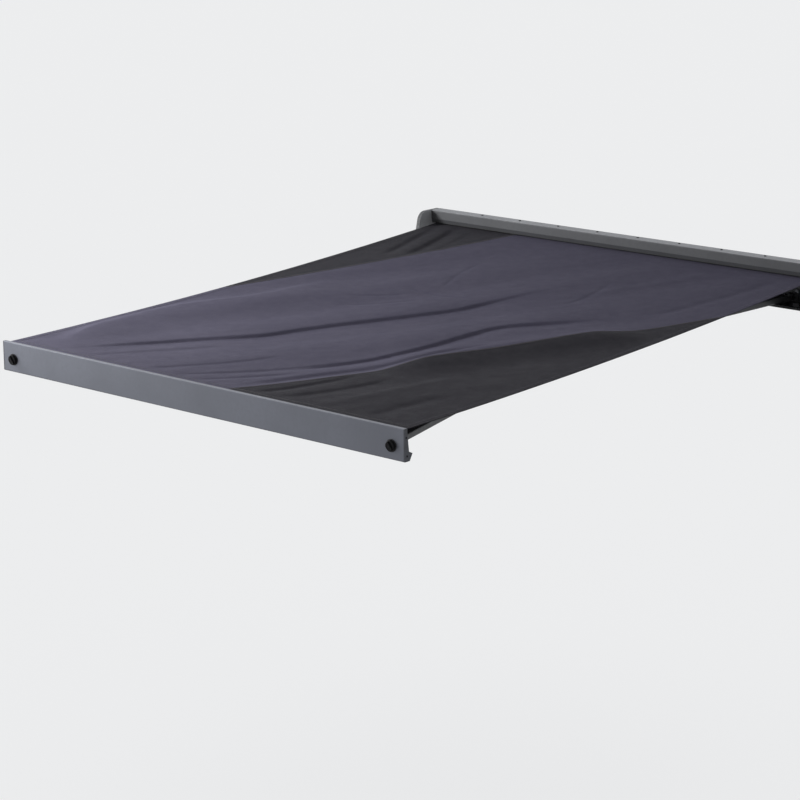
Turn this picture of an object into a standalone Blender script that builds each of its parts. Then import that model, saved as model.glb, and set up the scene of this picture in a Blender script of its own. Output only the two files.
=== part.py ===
"""Side awning: a wall cassette with a roller, a sloping cloth, two folding arms and a front rail.

Metres, +Z up. The cloth runs out along -Y. The origin is the middle of the centre foot's
underside. The awning is modelled wide open; closing turns the shoulders, elbows and wrists.
"""
import math

import bmesh
import bpy
from mathutils import Matrix, Vector

# Fits
TOUCH = 0.0003
RUNNING = 0.0003
SIDE_PLAY = 0.0002
JOIN_OVERLAP = 0.004

# Cassette
AWNING_LENGTH = 2.000
PROJECTION = 2.500
CASSETTE_HEIGHT = 0.175
PROFILE_WALL = 0.003
TRAY_DEPTH = 0.112
TRAY_UPSTAND = 0.0085
TOP_FLANGE = 0.036
COVER_WALL = 0.0025
COVER_DEPTH = 0.058
COVER_CORNER = 0.004
FACE_HEIGHT = 0.037
LIP_HEIGHT = 0.052
LIP_INSET = 0.0055
END_COVER = 0.012
END_COVER_WALL = 0.003
END_COVER_FACE = 0.006
END_COVER_ROUND = 0.005
END_PLATE = 0.008
END_DEPTH = 0.152
END_SHOULDER = 0.126
END_SHOULDER_ROUND = 0.045
END_NOSE_DROP = 0.115
END_NOSE_ROUND = 0.020
END_CORNER_ROUND = 0.015
END_BACK_ROUND = 0.004
PORT_SIZE = 0.0065
PORT_BORE = 0.0021

# Feet on the vehicle's roof bars
FOOT_INSET = 0.300
FOOT_WALL = 0.006
FOOT_WIDTH = 0.080
FOOT_LENGTH = 0.075
FOOT_LEG = 0.105
FOOT_HOLE = 0.0045
FOOT_HOLE_SPACING = 0.050
FOOT_HOLE_REACH = 0.0405
FOOT_GUSSET = 0.045
FOOT_GUSSET_WALL = 0.006
STUD_RADIUS = 0.004
STUD_SPACING = 0.044
STUD_DROPS = (0.080, 0.096)
STUD_PLATE = 0.003
STUD_PLATE_EDGE = 0.008
NUT_RADIUS = 0.0075
NUT_HEIGHT = 0.006

# Roller
ROLLER_DEPTH = 0.029
ROLLER_DROP = 0.036
TUBE_RADIUS = 0.019
TUBE_WALL = 0.003
TUBE_SHORT = 0.0108
WOUND_CLOTH = 0.0017
KEDER_GROOVE = 0.0013
KEDER_ROD = 0.0010
KEDER_MOUTH = 0.0021
MOTOR_RADIUS = 0.015
MOTOR_LENGTH = 0.450
MOTOR_HEAD_RADIUS = 0.018
MOTOR_HEAD = 0.005
SPIGOT_RADIUS = 0.006
SPIGOT_LENGTH = 0.004
HOLDER_RADIUS = 0.020
HOLDER_LENGTH = 0.005
BEARING_RADIUS = 0.014
ADAPTER_LENGTH = 0.020
DRIVE_SHAFT_RADIUS = 0.005
PLUG_LENGTH = 0.040
PLUG_FLANGE = 0.0035
GLAND_INSET = 0.100
GLAND_DROP = 0.090
GLAND_RADIUS = 0.006
GLAND_BORE = 0.003
GLAND_FLANGE = 0.003
GLAND_FLANGE_HEIGHT = 0.010
GLAND_NOSE = 0.004
GLAND_TAPER = 0.002
GLAND_REACH = 0.010

# Cloth
CLOTH_MARGIN = 0.002
CLOTH_THICKNESS = 0.0016
CLOTH_SAG = 0.032
CLOTH_FOLD = 0.0052
FOLD_SLANT = -1.2
FOLD_WAVES = (14.0, 6.0)
FOLD_PHASE = 0.67
FOLD_DRIFT = 2.0
FOLD_SECOND = 0.6
SAG_AT_EDGE = 0.65
FOLD_CALM = 4
CLOTH_FLAT_END = 0.012
CLOTH_ROWS = 28
CLOTH_COLUMNS = 20

# Front rail, in its own section: distances behind the front face and below the top
RAIL_HEIGHT = 0.110
RAIL_SIDE_GAP = 0.0033
RAIL_CLOSED_FRONT = 0.143
RAIL_DROP = 0.100
RAIL_WALL = 0.0025
RAIL_TOP_DEPTH = 0.014
RAIL_HEAD = 0.012
RAIL_BACK_MIDDLE = (0.022, 0.078)
RAIL_TROUGH = (0.0255, 0.104)
RAIL_LIP = (0.039, 0.086)
RAIL_LIP_WALL = 0.0026
RAIL_LIP_SLANT = 0.0014
RAIL_EDGE = 0.002
RAIL_EDGE_CUT = 0.0006
RAIL_FOOT = 0.0255
RAIL_END_CAP = 0.004
RAIL_KEDER = 0.003
RAIL_KEDER_DEPTH = 0.0085
RAIL_KEDER_DROP = 0.0065
RAIL_MOUTH = 0.003

# Arms
ARM_OPEN_ANGLE = math.radians(80.0)
SHOULDER_INSET = 0.160
SHOULDER_DEPTH = 0.032
LEFT_ARM_DROP = 0.118
RIGHT_ARM_DROP = 0.147
BAR_SPACING = 0.040
BAR_WIDTH = 0.032
BAR_HEIGHT = 0.026
BAR_ROUND = 0.005
BAR_WALL = 0.002
FOREARM_TRIM = 0.001
FITTING_LENGTH = 0.035
BLOCK_START = 0.022
PLUG_REACH = 0.040
EYE_RADIUS = 0.014
TONGUE_HEIGHT = 0.0152
PIN_RADIUS = 0.005
NECK_START = 0.002
GUSSET_ANGLE = math.radians(60.0)
SPRING_RADIUS = 0.0065
SPRING_WIRE = 0.002
SPRING_LENGTH = 0.500
BRACKET_PLATE = 0.006
BRACKET_WIDTH = 0.066
BRACKET_RISE = 0.030
BRACKET_REACH = 0.026
SLOT_BACK = 0.017
WRIST_PLATE_WIDTH = 0.060
WRIST_PLATE_TOP = 0.038
WRIST_PLATE_END = 0.075
WRIST_BLOCK = 0.027
WRIST_WEB_TOPS = {-1: 0.045, 1: 0.040}
WRIST_WEB_END = 0.074
WRIST_WEB_LAP = 0.008
WRIST_WEB_INSET = 0.001

# Latches in the front rail
LATCH_INSET = 0.0557
LATCH_DROP = 0.063
KNOB_RADIUS = 0.019
KNOB_DEPTH = 0.012
KNOB_LOBES = 4
KNOB_LOBE_DEPTH = 0.07
KNOB_EDGE = 0.002
RING_RADIUS = 0.0215
RING_HEIGHT = 0.002
SPINDLE_RADIUS = 0.006
SPINDLE_END = 0.003
CAM_DEPTH = 0.0415
CAM_WALL = 0.004
CAM_REACH = 0.040
CAM_HUB = 0.010
CAM_HALF_WIDTH = 0.006
KEEPER_HEIGHT = 0.0215
KEEPER_WIDTH = 0.028
KEEPER_FOOT = 0.020
KEEPER_WALL = 0.003

# Seals: depth and height
LIP_SEAL = (0.005, 0.0027)
GUTTER_SEAL = (0.003, 0.007)
SEAL_ROUND = 0.001

# Facets
ROUND = 24
FINE_ROUND = 36
SMALL_ROUND = 12

# Finishes: colour, roughness, metallic
DARK_CASE = ((0.085, 0.087, 0.092), 0.45, 0.6)
CASE_TOP = ((0.16, 0.165, 0.175), 0.42, 0.6)
RAIL_GREY = ((0.155, 0.165, 0.185), 0.40, 0.6)
BLACK_PLASTIC = ((0.018, 0.018, 0.020), 0.55, 0.0)
RUBBER = ((0.012, 0.012, 0.012), 0.80, 0.0)
STEEL = ((0.55, 0.56, 0.58), 0.35, 1.0)
BARE_ALUMINIUM = ((0.62, 0.63, 0.65), 0.38, 1.0)
SLATE_CLOTH = ((0.090, 0.082, 0.112), 0.90, 0.0)

# Worked out from the sizes above
TRAVEL = math.hypot(PROJECTION - RAIL_CLOSED_FRONT, RAIL_DROP)
SLOPE = math.asin(RAIL_DROP / TRAVEL)
ARM_REACH = BAR_SPACING + TRAVEL
LINK = ARM_REACH / (2 * math.sin(ARM_OPEN_ANGLE))
ELBOW_OFFSET = BAR_SPACING / 2
CLOSED_ANGLE = math.asin(ELBOW_OFFSET / LINK)
ELBOW_ALONG = LINK * math.cos(CLOSED_ANGLE)
OPEN_TURN = ARM_OPEN_ANGLE - CLOSED_ANGLE
BACK_Y = FOOT_HOLE_REACH
TOP_Z = CASSETTE_HEIGHT
PLATE_INSIDE = AWNING_LENGTH / 2 - END_COVER - END_PLATE
PROFILE_HALF = PLATE_INSIDE - TOUCH
TUBE_HALF = PLATE_INSIDE - TUBE_SHORT
CLOTH_WIDTH = 2 * (TUBE_HALF - CLOTH_MARGIN)
RAIL_HALF_LENGTH = PLATE_INSIDE - RAIL_SIDE_GAP
LATCH_POSITION = RAIL_HALF_LENGTH - LATCH_INSET
SHOULDER_POSITION = AWNING_LENGTH / 2 - SHOULDER_INSET
FOOT_POSITIONS = (FOOT_INSET - AWNING_LENGTH / 2, 0, AWNING_LENGTH / 2 - FOOT_INSET)
GLAND_POSITION = AWNING_LENGTH / 2 - GLAND_INSET
WOUND_RADIUS = TUBE_RADIUS + TOUCH + WOUND_CLOTH
CLOTH_RADIUS = WOUND_RADIUS + TOUCH + CLOTH_THICKNESS / 2
PIN_HOLE = PIN_RADIUS + RUNNING
SLOT_HEIGHT = TONGUE_HEIGHT + 2 * SIDE_PLAY
LINER_TOP = COVER_WALL + TOUCH
WRIST_DEPTH = RAIL_CLOSED_FRONT - SHOULDER_DEPTH - BAR_SPACING * math.cos(SLOPE)


def cloth_drop(depth):
    """How far the cloth's middle plane lies below the cassette's top, at a depth in front of its back."""
    return ROLLER_DROP + CLOTH_RADIUS / math.cos(SLOPE) + math.tan(SLOPE) * (depth - ROLLER_DEPTH)


RAIL_TOP_DROP = cloth_drop(PROJECTION - RAIL_KEDER_DEPTH) - RAIL_KEDER_DROP

for leftover in list(bpy.data.objects):
    bpy.data.objects.remove(leftover, do_unlink=True)
AWNING = bpy.data.collections.new("vehicle_side_awning")
CUTTERS = bpy.data.collections.new("cutters")
bpy.context.scene.collection.children.link(AWNING)
bpy.context.scene.collection.children.link(CUTTERS)


# Frames

def section(x, depth=0.0, drop=0.0):
    """Section plane: local x runs forward, local y up, local z towards -X."""
    turn = Matrix(((0, 0, -1), (-1, 0, 0), (0, 1, 0))).to_4x4()
    return Matrix.Translation((x, BACK_Y - depth, TOP_Z - drop)) @ turn


def arm_plane(x, depth, drop, turn=0.0):
    """Plane of the folding arms: local y runs back up the slope, local z stands square to it."""
    place = Matrix.Translation((x, BACK_Y - depth, TOP_Z - drop))
    return place @ Matrix.Rotation(SLOPE, 4, "X") @ Matrix.Rotation(turn, 4, "Z")


def rail_section(x):
    """The open front rail's section: local x forward of its face, local y above its top."""
    return section(x, PROJECTION, RAIL_TOP_DROP)


def toward(axis):
    """Rotation that stands a piece's local z along an axis."""
    return Vector((0, 0, 1)).rotation_difference(Vector(axis)).to_matrix().to_4x4()


# Outlines

def arc(x, y, radius, start, end, steps):
    """Points along an arc, angles in radians."""
    angles = [start + (end - start) * i / steps for i in range(steps + 1)]
    return [(x + radius * math.cos(a), y + radius * math.sin(a)) for a in angles]


def ring(radius, count, x=0.0, y=0.0):
    """Points round a circle."""
    return arc(x, y, radius, 0.0, 2 * math.pi * (count - 1) / count, count - 1)


def rounded(corners, steps=4):
    """A closed outline whose corners (x, y, radius) become arcs."""
    outline = []
    for i, (x, y, radius) in enumerate(corners):
        here = Vector((x, y))
        before = (Vector(corners[i - 1][:2]) - here).normalized()
        after = (Vector(corners[(i + 1) % len(corners)][:2]) - here).normalized()
        if radius == 0:
            outline.append((x, y))
            continue
        half = before.angle(after) / 2
        centre = here + (before + after).normalized() * radius / math.sin(half)
        first = here + before * radius / math.tan(half) - centre
        sweep = first.angle_signed(here + after * radius / math.tan(half) - centre)
        for k in range(steps + 1):
            turned = Matrix.Rotation(-sweep * k / steps, 2) @ first
            outline.append(tuple(centre + turned))
    return outline


def box_outline(x0, x1, y0, y1, radius=0.0):
    """A rectangle with optional round corners."""
    return rounded([(x0, y0, radius), (x1, y0, radius), (x1, y1, radius), (x0, y1, radius)])


def strip(path, wall):
    """Outline of a bent sheet: an open path and its copy one wall thickness to its left."""
    points = [Vector(p) for p in path]
    inner = []
    for i, point in enumerate(points):
        lines = []
        if i > 0:
            lines.append((point - points[i - 1]).normalized())
        if i < len(points) - 1:
            lines.append((points[i + 1] - point).normalized())
        normals = [Vector((-line.y, line.x)) for line in lines]
        bisector = sum(normals, Vector((0, 0))).normalized()
        inner.append(tuple(point + bisector * wall / bisector.dot(normals[0])))
    return list(path) + inner[::-1]


def mirrored(outline, across_x=1, across_y=1):
    """An outline with its coordinates multiplied by plus or minus one."""
    return [(x * across_x, y * across_y) for x, y in outline]


# Solids

def finish(obj, look):
    """Give an object its own material."""
    colour, roughness, metallic = look
    material = bpy.data.materials.new(obj.name + "_finish")
    material.use_nodes = True
    shader = material.node_tree.nodes["Principled BSDF"]
    shader.inputs["Base Color"].default_value = (*colour, 1)
    shader.inputs["Roughness"].default_value = roughness
    shader.inputs["Metallic"].default_value = metallic
    obj.data.materials.clear()
    obj.data.materials.append(material)


def place(name, mesh, matrix, look=None, parent=None):
    """A mesh object in the awning, or among the cutters when it has no look."""
    obj = bpy.data.objects.new(name, mesh)
    (AWNING if look else CUTTERS).objects.link(obj)
    if parent:
        obj.parent = parent
        obj.matrix_parent_inverse = parent.matrix_world.inverted()
    obj.matrix_world = matrix
    if look:
        mesh.shade_smooth()
        mesh.set_sharp_from_angle(angle=math.radians(35))
        finish(obj, look)
    else:
        obj.hide_render = True
        obj.display_type = "WIRE"
    return obj


def prism(name, outlines, thickness, matrix, look=None, parent=None, edge_round=0.0, round_side=-1):
    """A flat outline, with any holes after it, made as thick as asked about its plane."""
    curve = bpy.data.curves.new(name, "CURVE")
    curve.dimensions = "2D"
    curve.fill_mode = "BOTH"
    curve.extrude = thickness / 2
    for outline in outlines:
        spline = curve.splines.new("POLY")
        spline.points.add(len(outline) - 1)
        spline.use_cyclic_u = True
        for point, (x, y) in zip(spline.points, outline):
            point.co = (x, y, 0, 1)
    drawn = bpy.data.objects.new(name + "_outline", curve)
    CUTTERS.objects.link(drawn)
    bpy.context.view_layer.update()
    evaluated = drawn.evaluated_get(bpy.context.evaluated_depsgraph_get())
    mesh = bpy.data.meshes.new_from_object(evaluated)
    mesh.name = name
    bpy.data.objects.remove(drawn)
    bpy.data.curves.remove(curve)
    bm = bmesh.new()
    bm.from_mesh(mesh)
    bmesh.ops.remove_doubles(bm, verts=bm.verts, dist=1e-6)
    bmesh.ops.recalc_face_normals(bm, faces=bm.faces)
    if edge_round:
        bmesh.ops.dissolve_limit(bm, angle_limit=math.radians(0.5), verts=bm.verts, edges=bm.edges)
        rim = [e for e in bm.edges if all(v.co.z * round_side > 0 for v in e.verts)]
        bmesh.ops.bevel(bm, geom=rim, offset=edge_round, segments=3, profile=0.5, affect="EDGES")
    bm.to_mesh(mesh)
    bm.free()
    return place(name, mesh, matrix, look, parent)


def rods(name, radius, length, matrices, sides, look=None, parent=None):
    """Round bars centred on local z of each matrix, as one object."""
    bm = bmesh.new()
    for matrix in matrices:
        bmesh.ops.create_cone(bm, cap_ends=True, segments=sides, radius1=radius, radius2=radius,
                              depth=length, matrix=matrix)
    mesh = bpy.data.meshes.new(name)
    bm.to_mesh(mesh)
    bm.free()
    return place(name, mesh, Matrix.Identity(4), look, parent)


def turned(name, profile, matrix, look, parent=None, closed=False, steps=ROUND):
    """A profile of (radius, height), listed down its outer side, turned about local z."""
    bm = bmesh.new()
    points = [bm.verts.new((r, 0, z)) for r, z in profile]
    for pair in zip(points, points[1:]):
        bm.edges.new(pair)
    if closed:
        bm.edges.new((points[-1], points[0]))
    mesh = bpy.data.meshes.new(name)
    bm.to_mesh(mesh)
    bm.free()
    obj = place(name, mesh, matrix, look, parent)
    screw = obj.modifiers.new("turn", "SCREW")
    screw.steps = steps
    screw.render_steps = steps
    screw.use_merge_vertices = True
    screw.merge_threshold = 1e-5
    screw.use_smooth_shade = False
    return obj


def cut(target, cutter):
    """Take a cutter out of a piece."""
    boolean = target.modifiers.new("cut", "BOOLEAN")
    boolean.operation = "DIFFERENCE"
    boolean.object = cutter


def fuse(target, added):
    """Join a helper solid to a piece."""
    boolean = target.modifiers.new("join", "BOOLEAN")
    boolean.operation = "UNION"
    boolean.object = added


def drill(target, radius, length, matrices, sides=ROUND):
    """Round holes through a piece."""
    cut(target, rods(target.name + "_holes", radius, length, matrices, sides))


def axis_empty(name, matrix, parent=None):
    """An empty on a joint's axis, which carries the moving pieces."""
    empty = bpy.data.objects.new(name, None)
    empty.empty_display_size = 0.05
    AWNING.objects.link(empty)
    if parent:
        empty.parent = parent
        empty.matrix_parent_inverse = parent.matrix_world.inverted()
    empty.matrix_world = matrix
    bpy.context.view_layer.update()
    return empty


# Cassette

def port_centres():
    """Screw ports in the back profile's two rear corners, as (depth, height)."""
    offset = PROFILE_WALL + PORT_SIZE / 2
    return ((offset, -LINER_TOP - offset), (offset, -CASSETTE_HEIGHT + offset))


def stud_places(x):
    """The four studs of one foot, on the back wall's rear face, local z pointing backwards."""
    return [Matrix.Translation((x + hand * STUD_SPACING / 2, BACK_Y, TOP_Z - drop)) @ toward((0, 1, 0))
            for hand in (-1, 1) for drop in STUD_DROPS]


def arm_drop(side):
    return LEFT_ARM_DROP if side < 0 else RIGHT_ARM_DROP


def back_profile():
    bottom = -CASSETTE_HEIGHT
    outline = strip([(TOP_FLANGE, -LINER_TOP), (0, -LINER_TOP), (0, bottom), (TRAY_DEPTH, bottom),
                     (TRAY_DEPTH, bottom + TRAY_UPSTAND)], PROFILE_WALL)
    inner = PROFILE_WALL
    low = bottom + inner
    high = -LINER_TOP - inner
    outline = outline[:5] + [outline[5], outline[6], (inner + PORT_SIZE, low),
                             (inner + PORT_SIZE, low + PORT_SIZE), (inner, low + PORT_SIZE),
                             (inner, high - PORT_SIZE), (inner + PORT_SIZE, high - PORT_SIZE),
                             (inner + PORT_SIZE, high), outline[9]]
    ports = [ring(PORT_BORE, SMALL_ROUND, *centre) for centre in port_centres()]
    profile = prism("back_profile", [outline] + ports, 2 * PROFILE_HALF, section(0), DARK_CASE)
    drill(profile, STUD_RADIUS + TOUCH, 4 * PROFILE_WALL,
          [m for x in FOOT_POSITIONS for m in stud_places(x)], SMALL_ROUND)
    drill(profile, GLAND_RADIUS + TOUCH, 4 * PROFILE_WALL, [gland_place()])


def cover_shell():
    corner = arc(COVER_DEPTH - COVER_CORNER, -COVER_CORNER, COVER_CORNER, 0, math.pi / 2, 4)
    path = [(COVER_DEPTH - LIP_INSET, -LIP_HEIGHT), (COVER_DEPTH, -FACE_HEIGHT)] + corner + [(0, 0)]
    prism("cover_shell", [strip(path, COVER_WALL)], 2 * PROFILE_HALF, section(0), CASE_TOP)


def end_outline(inset=0.0):
    """The end plate's profile, with its arched top shoulder and slanting nose."""
    low = -CASSETTE_HEIGHT + inset
    nose = END_DEPTH - inset
    return rounded([(inset, -inset, END_BACK_ROUND),
                    (END_SHOULDER - inset, -inset, END_SHOULDER_ROUND - inset),
                    (nose, -END_NOSE_DROP, END_NOSE_ROUND), (nose, low, END_CORNER_ROUND - inset),
                    (inset, low, END_BACK_ROUND)], 6)


def end_pieces():
    for name, side in (("left", -1), ("right", 1)):
        middle = side * (PLATE_INSIDE + END_PLATE / 2)
        holes = [ring(PORT_BORE, SMALL_ROUND, *centre) for centre in port_centres()]
        prism(name + "_end_plate", [end_outline()] + holes, END_PLATE, section(middle), DARK_CASE)
        thickness = END_COVER - TOUCH
        outer = section(side * (AWNING_LENGTH / 2 - thickness / 2))
        cover = prism(name + "_end_cover", [end_outline()], thickness, outer, DARK_CASE,
                      edge_round=END_COVER_ROUND, round_side=-side)
        pocket = section(side * (AWNING_LENGTH / 2 - END_COVER_FACE - END_COVER / 2))
        cut(cover, prism(name + "_pocket", [end_outline(END_COVER_WALL)], END_COVER, pocket))


def feet():
    names = ("left", "centre", "right")
    bottom = -CASSETTE_HEIGHT
    for name, x in zip(names, FOOT_POSITIONS):
        path = [(-TOUCH - FOOT_LENGTH, bottom), (-TOUCH, bottom), (-TOUCH, bottom + FOOT_LEG)]
        foot = prism("mount_bracket_" + name, [strip(path, FOOT_WALL)], FOOT_WIDTH, section(x), DARK_CASE)
        inner = -TOUCH - FOOT_WALL / 2
        floor = bottom + FOOT_WALL / 2
        gusset = [(inner, floor), (inner - FOOT_GUSSET, floor), (inner, floor + FOOT_GUSSET)]
        fuse(foot, prism(name + "_foot_gusset", [gusset], FOOT_GUSSET_WALL, section(x)))
        holes = [Matrix.Translation((x + hand * FOOT_HOLE_SPACING / 2, 0, 0)) for hand in (-1, 1)]
        drill(foot, FOOT_HOLE, 4 * FOOT_WALL, holes)
        drill(foot, STUD_RADIUS + TOUCH, 4 * FOOT_WALL, stud_places(x), SMALL_ROUND)
        stud_plate(name, x)


def stud_plate(name, x):
    """Plate inside the back wall whose four studs hold a foot, with their nuts run up."""
    front = PROFILE_WALL + TOUCH
    across = STUD_SPACING / 2 + STUD_PLATE_EDGE
    top = -STUD_DROPS[0] + STUD_PLATE_EDGE
    low = -STUD_DROPS[-1] - STUD_PLATE_EDGE
    outline = box_outline(front, front + STUD_PLATE, low, top)
    plate = prism("stud_plate_" + name, [outline], 2 * across, section(x), STEEL)
    inside = front + STUD_PLATE / 2
    outside = TOUCH + FOOT_WALL + TOUCH + NUT_HEIGHT
    length = inside + outside
    shanks = [m @ Matrix.Translation((0, 0, (outside - inside) / 2)) for m in stud_places(x)]
    fuse(plate, rods(name + "_studs", STUD_RADIUS, length, shanks, SMALL_ROUND))
    nuts = [m @ Matrix.Translation((0, 0, outside - NUT_HEIGHT / 2)) for m in stud_places(x)]
    fuse(plate, rods(name + "_nuts", NUT_RADIUS, NUT_HEIGHT, nuts, 6))


def seals():
    wide, tall = LIP_SEAL
    edge = COVER_DEPTH - LIP_INSET
    lip = box_outline(edge - wide, edge, -LIP_HEIGHT - TOUCH - tall, -LIP_HEIGHT - TOUCH, SEAL_ROUND)
    prism("lip_seal", [lip], 2 * PROFILE_HALF, section(0), RUBBER)
    thick, tall = GUTTER_SEAL
    front = TRAY_DEPTH + TOUCH
    gutter = box_outline(front, front + thick, -CASSETTE_HEIGHT, -CASSETTE_HEIGHT + tall, SEAL_ROUND)
    prism("gutter_seal", [gutter], 2 * PROFILE_HALF, section(0), RUBBER)


def gland_place():
    return Matrix.Translation((GLAND_POSITION, BACK_Y, TOP_Z - GLAND_DROP)) @ toward((0, 1, 0))


def cable_gland():
    wide = GLAND_RADIUS + GLAND_FLANGE
    top = GLAND_FLANGE_HEIGHT + GLAND_NOSE
    profile = [(wide - GLAND_TAPER, top), (wide, GLAND_FLANGE_HEIGHT), (wide, TOUCH), (GLAND_RADIUS, TOUCH),
               (GLAND_RADIUS, -GLAND_REACH), (GLAND_BORE, -GLAND_REACH), (GLAND_BORE, top)]
    turned("cable_gland", profile, gland_place(), BLACK_PLASTIC, closed=True)


def latch_keepers():
    bottom = -CASSETTE_HEIGHT + PROFILE_WALL + TOUCH
    face = RAIL_CLOSED_FRONT - CAM_DEPTH + 2 * TOUCH + KEEPER_WALL
    path = [(face - KEEPER_FOOT, bottom), (face, bottom), (face, bottom + KEEPER_HEIGHT)]
    for name, side in (("left", -1), ("right", 1)):
        prism(name + "_latch_keeper", [strip(path, KEEPER_WALL)], KEEPER_WIDTH,
              section(side * LATCH_POSITION), STEEL)


# Roller

def roller():
    centre = section(0, ROLLER_DEPTH, ROLLER_DROP)
    spin = axis_empty("roller_axis", centre)
    half = TUBE_HALF
    opening = math.asin(KEDER_MOUTH / 2 / TUBE_RADIUS)
    outer = arc(0, 0, TUBE_RADIUS, opening, 2 * math.pi - opening, FINE_ROUND)
    middle = TUBE_RADIUS - KEDER_GROOVE
    mouth = math.asin(KEDER_MOUTH / 2 / KEDER_GROOVE)
    outer += arc(middle, 0, KEDER_GROOVE, -mouth, mouth - 2 * math.pi, 8)
    bore = TUBE_RADIUS - TUBE_WALL
    prism("roller_tube", [outer, ring(bore, FINE_ROUND)], 2 * half, centre, BARE_ALUMINIUM, spin)
    rods("roller_keder", KEDER_ROD, CLOTH_WIDTH,
         [centre @ Matrix.Translation((middle, 0, 0))], 8, BLACK_PLASTIC, spin)
    prism("fabric_roll", [ring(WOUND_RADIUS, FINE_ROUND), ring(TUBE_RADIUS + TOUCH, FINE_ROUND)],
          CLOTH_WIDTH, centre, SLATE_CLOTH, spin)
    fit = bore - TOUCH
    shoulder = TUBE_RADIUS
    length = PLATE_INSIDE - half - PLUG_FLANGE - TOUCH
    plug = [(0, length + PLUG_FLANGE - TOUCH), (SPIGOT_RADIUS, length + PLUG_FLANGE - TOUCH),
            (SPIGOT_RADIUS, PLUG_FLANGE), (shoulder, PLUG_FLANGE), (shoulder, TOUCH), (fit, TOUCH),
            (fit, -PLUG_LENGTH), (0, -PLUG_LENGTH)]
    left_end = section(-half, ROLLER_DEPTH, ROLLER_DROP)
    turned("idler_plug", plug, left_end, BLACK_PLASTIC, spin)
    hole = SPIGOT_RADIUS + RUNNING
    bearing = [(BEARING_RADIUS, -TOUCH), (BEARING_RADIUS, -HOLDER_LENGTH), (hole, -HOLDER_LENGTH),
               (hole, -TOUCH)]
    turned("idler_bearing", bearing, section(-PLATE_INSIDE, ROLLER_DEPTH, ROLLER_DROP), BLACK_PLASTIC,
           closed=True)
    adapter_at = half - MOTOR_LENGTH
    adapter = [(fit, 0), (fit, -ADAPTER_LENGTH), (DRIVE_SHAFT_RADIUS + TOUCH, -ADAPTER_LENGTH),
               (DRIVE_SHAFT_RADIUS + TOUCH, 0)]
    right = section(adapter_at, ROLLER_DEPTH, ROLLER_DROP) @ toward((0, 0, -1))
    turned("drive_adapter", adapter, right, BLACK_PLASTIC, spin, closed=True)
    start = TOUCH
    end = MOTOR_LENGTH + TOUCH
    motor = [(0, end + MOTOR_HEAD + SPIGOT_LENGTH), (SPIGOT_RADIUS, end + MOTOR_HEAD + SPIGOT_LENGTH),
             (SPIGOT_RADIUS, end + MOTOR_HEAD), (MOTOR_HEAD_RADIUS, end + MOTOR_HEAD),
             (MOTOR_HEAD_RADIUS, end), (MOTOR_RADIUS, end), (MOTOR_RADIUS, start),
             (DRIVE_SHAFT_RADIUS, start), (DRIVE_SHAFT_RADIUS, -ADAPTER_LENGTH), (0, -ADAPTER_LENGTH)]
    turned("motor", motor, right, DARK_CASE)
    holder = [(HOLDER_RADIUS, -TOUCH), (HOLDER_RADIUS, -HOLDER_LENGTH), (hole, -HOLDER_LENGTH),
              (hole, -TOUCH)]
    turned("motor_holder", holder,
           section(PLATE_INSIDE, ROLLER_DEPTH, ROLLER_DROP) @ toward((0, 0, -1)), STEEL, closed=True)


# Cloth

def canopy():
    """One sagging sheet from the roller's underside to the front rail, with long shallow folds."""
    reach = (PROJECTION - RAIL_KEDER_DEPTH - ROLLER_DEPTH) / math.cos(SLOPE)
    reach += CLOTH_RADIUS * math.tan(SLOPE) - RAIL_KEDER - TOUCH
    tangent = arm_plane(0, ROLLER_DEPTH, ROLLER_DROP) @ Matrix.Translation((0, 0, -CLOTH_RADIUS))
    bm = bmesh.new()
    bmesh.ops.create_grid(bm, x_segments=CLOTH_COLUMNS, y_segments=CLOTH_ROWS, size=1.0)
    for vert in bm.verts:
        across = vert.co.x
        row = round((1 + vert.co.y) / 2 * CLOTH_ROWS)
        along = (row - 1) / (CLOTH_ROWS - 2)
        along = min(max(along, 0.0), 1.0)
        run = CLOTH_FLAT_END + along * (reach - 2 * CLOTH_FLAT_END)
        if row == 0:
            run = 0.0
        if row == CLOTH_ROWS:
            run = reach
        vert.co = (across * CLOTH_WIDTH / 2, -run, -cloth_sag(across, along))
    mesh = bpy.data.meshes.new("canopy")
    bm.to_mesh(mesh)
    bm.free()
    sheet = place("canopy", mesh, tangent, SLATE_CLOTH)
    thick = sheet.modifiers.new("thickness", "SOLIDIFY")
    thick.thickness = CLOTH_THICKNESS
    thick.offset = 0


def cloth_sag(across, along):
    """Depth of the cloth below its straight plane: the main belly and the folds, calm at both side edges."""
    belly = 4 * along * (1 - along)
    diagonal = across - FOLD_SLANT * (along - 0.5)
    folds = math.sin(FOLD_WAVES[0] * diagonal + FOLD_PHASE)
    folds += FOLD_SECOND * math.sin(FOLD_WAVES[1] * diagonal - FOLD_DRIFT * along)
    sag = CLOTH_SAG * (1 - (1 - SAG_AT_EDGE) * across * across)
    calm = 1 - abs(across) ** FOLD_CALM
    return belly * (sag + CLOTH_FOLD * folds * calm)


# Arms

def along_bar(matrix):
    """From an arm frame: local z along the bar, local x across it and local y up."""
    return matrix @ Matrix(((0, 0, 1), (1, 0, 0), (0, 1, 0))).to_4x4()


def bar(name, matrix, inward, start, end, trim, parent):
    """A hollow arm tube between two distances from its frame."""
    middle = matrix @ Matrix.Translation((inward * (start + end) / 2, 0, 0))
    wide = BAR_WIDTH / 2 - trim
    tall = BAR_HEIGHT / 2 - trim
    outer = box_outline(-wide, wide, -tall, tall, BAR_ROUND)
    wide -= BAR_WALL
    tall -= BAR_WALL
    inner = box_outline(-wide, wide, -tall, tall, BAR_ROUND - BAR_WALL)
    prism(name, [outer, inner], abs(end - start), along_bar(middle), DARK_CASE, parent)


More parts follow.
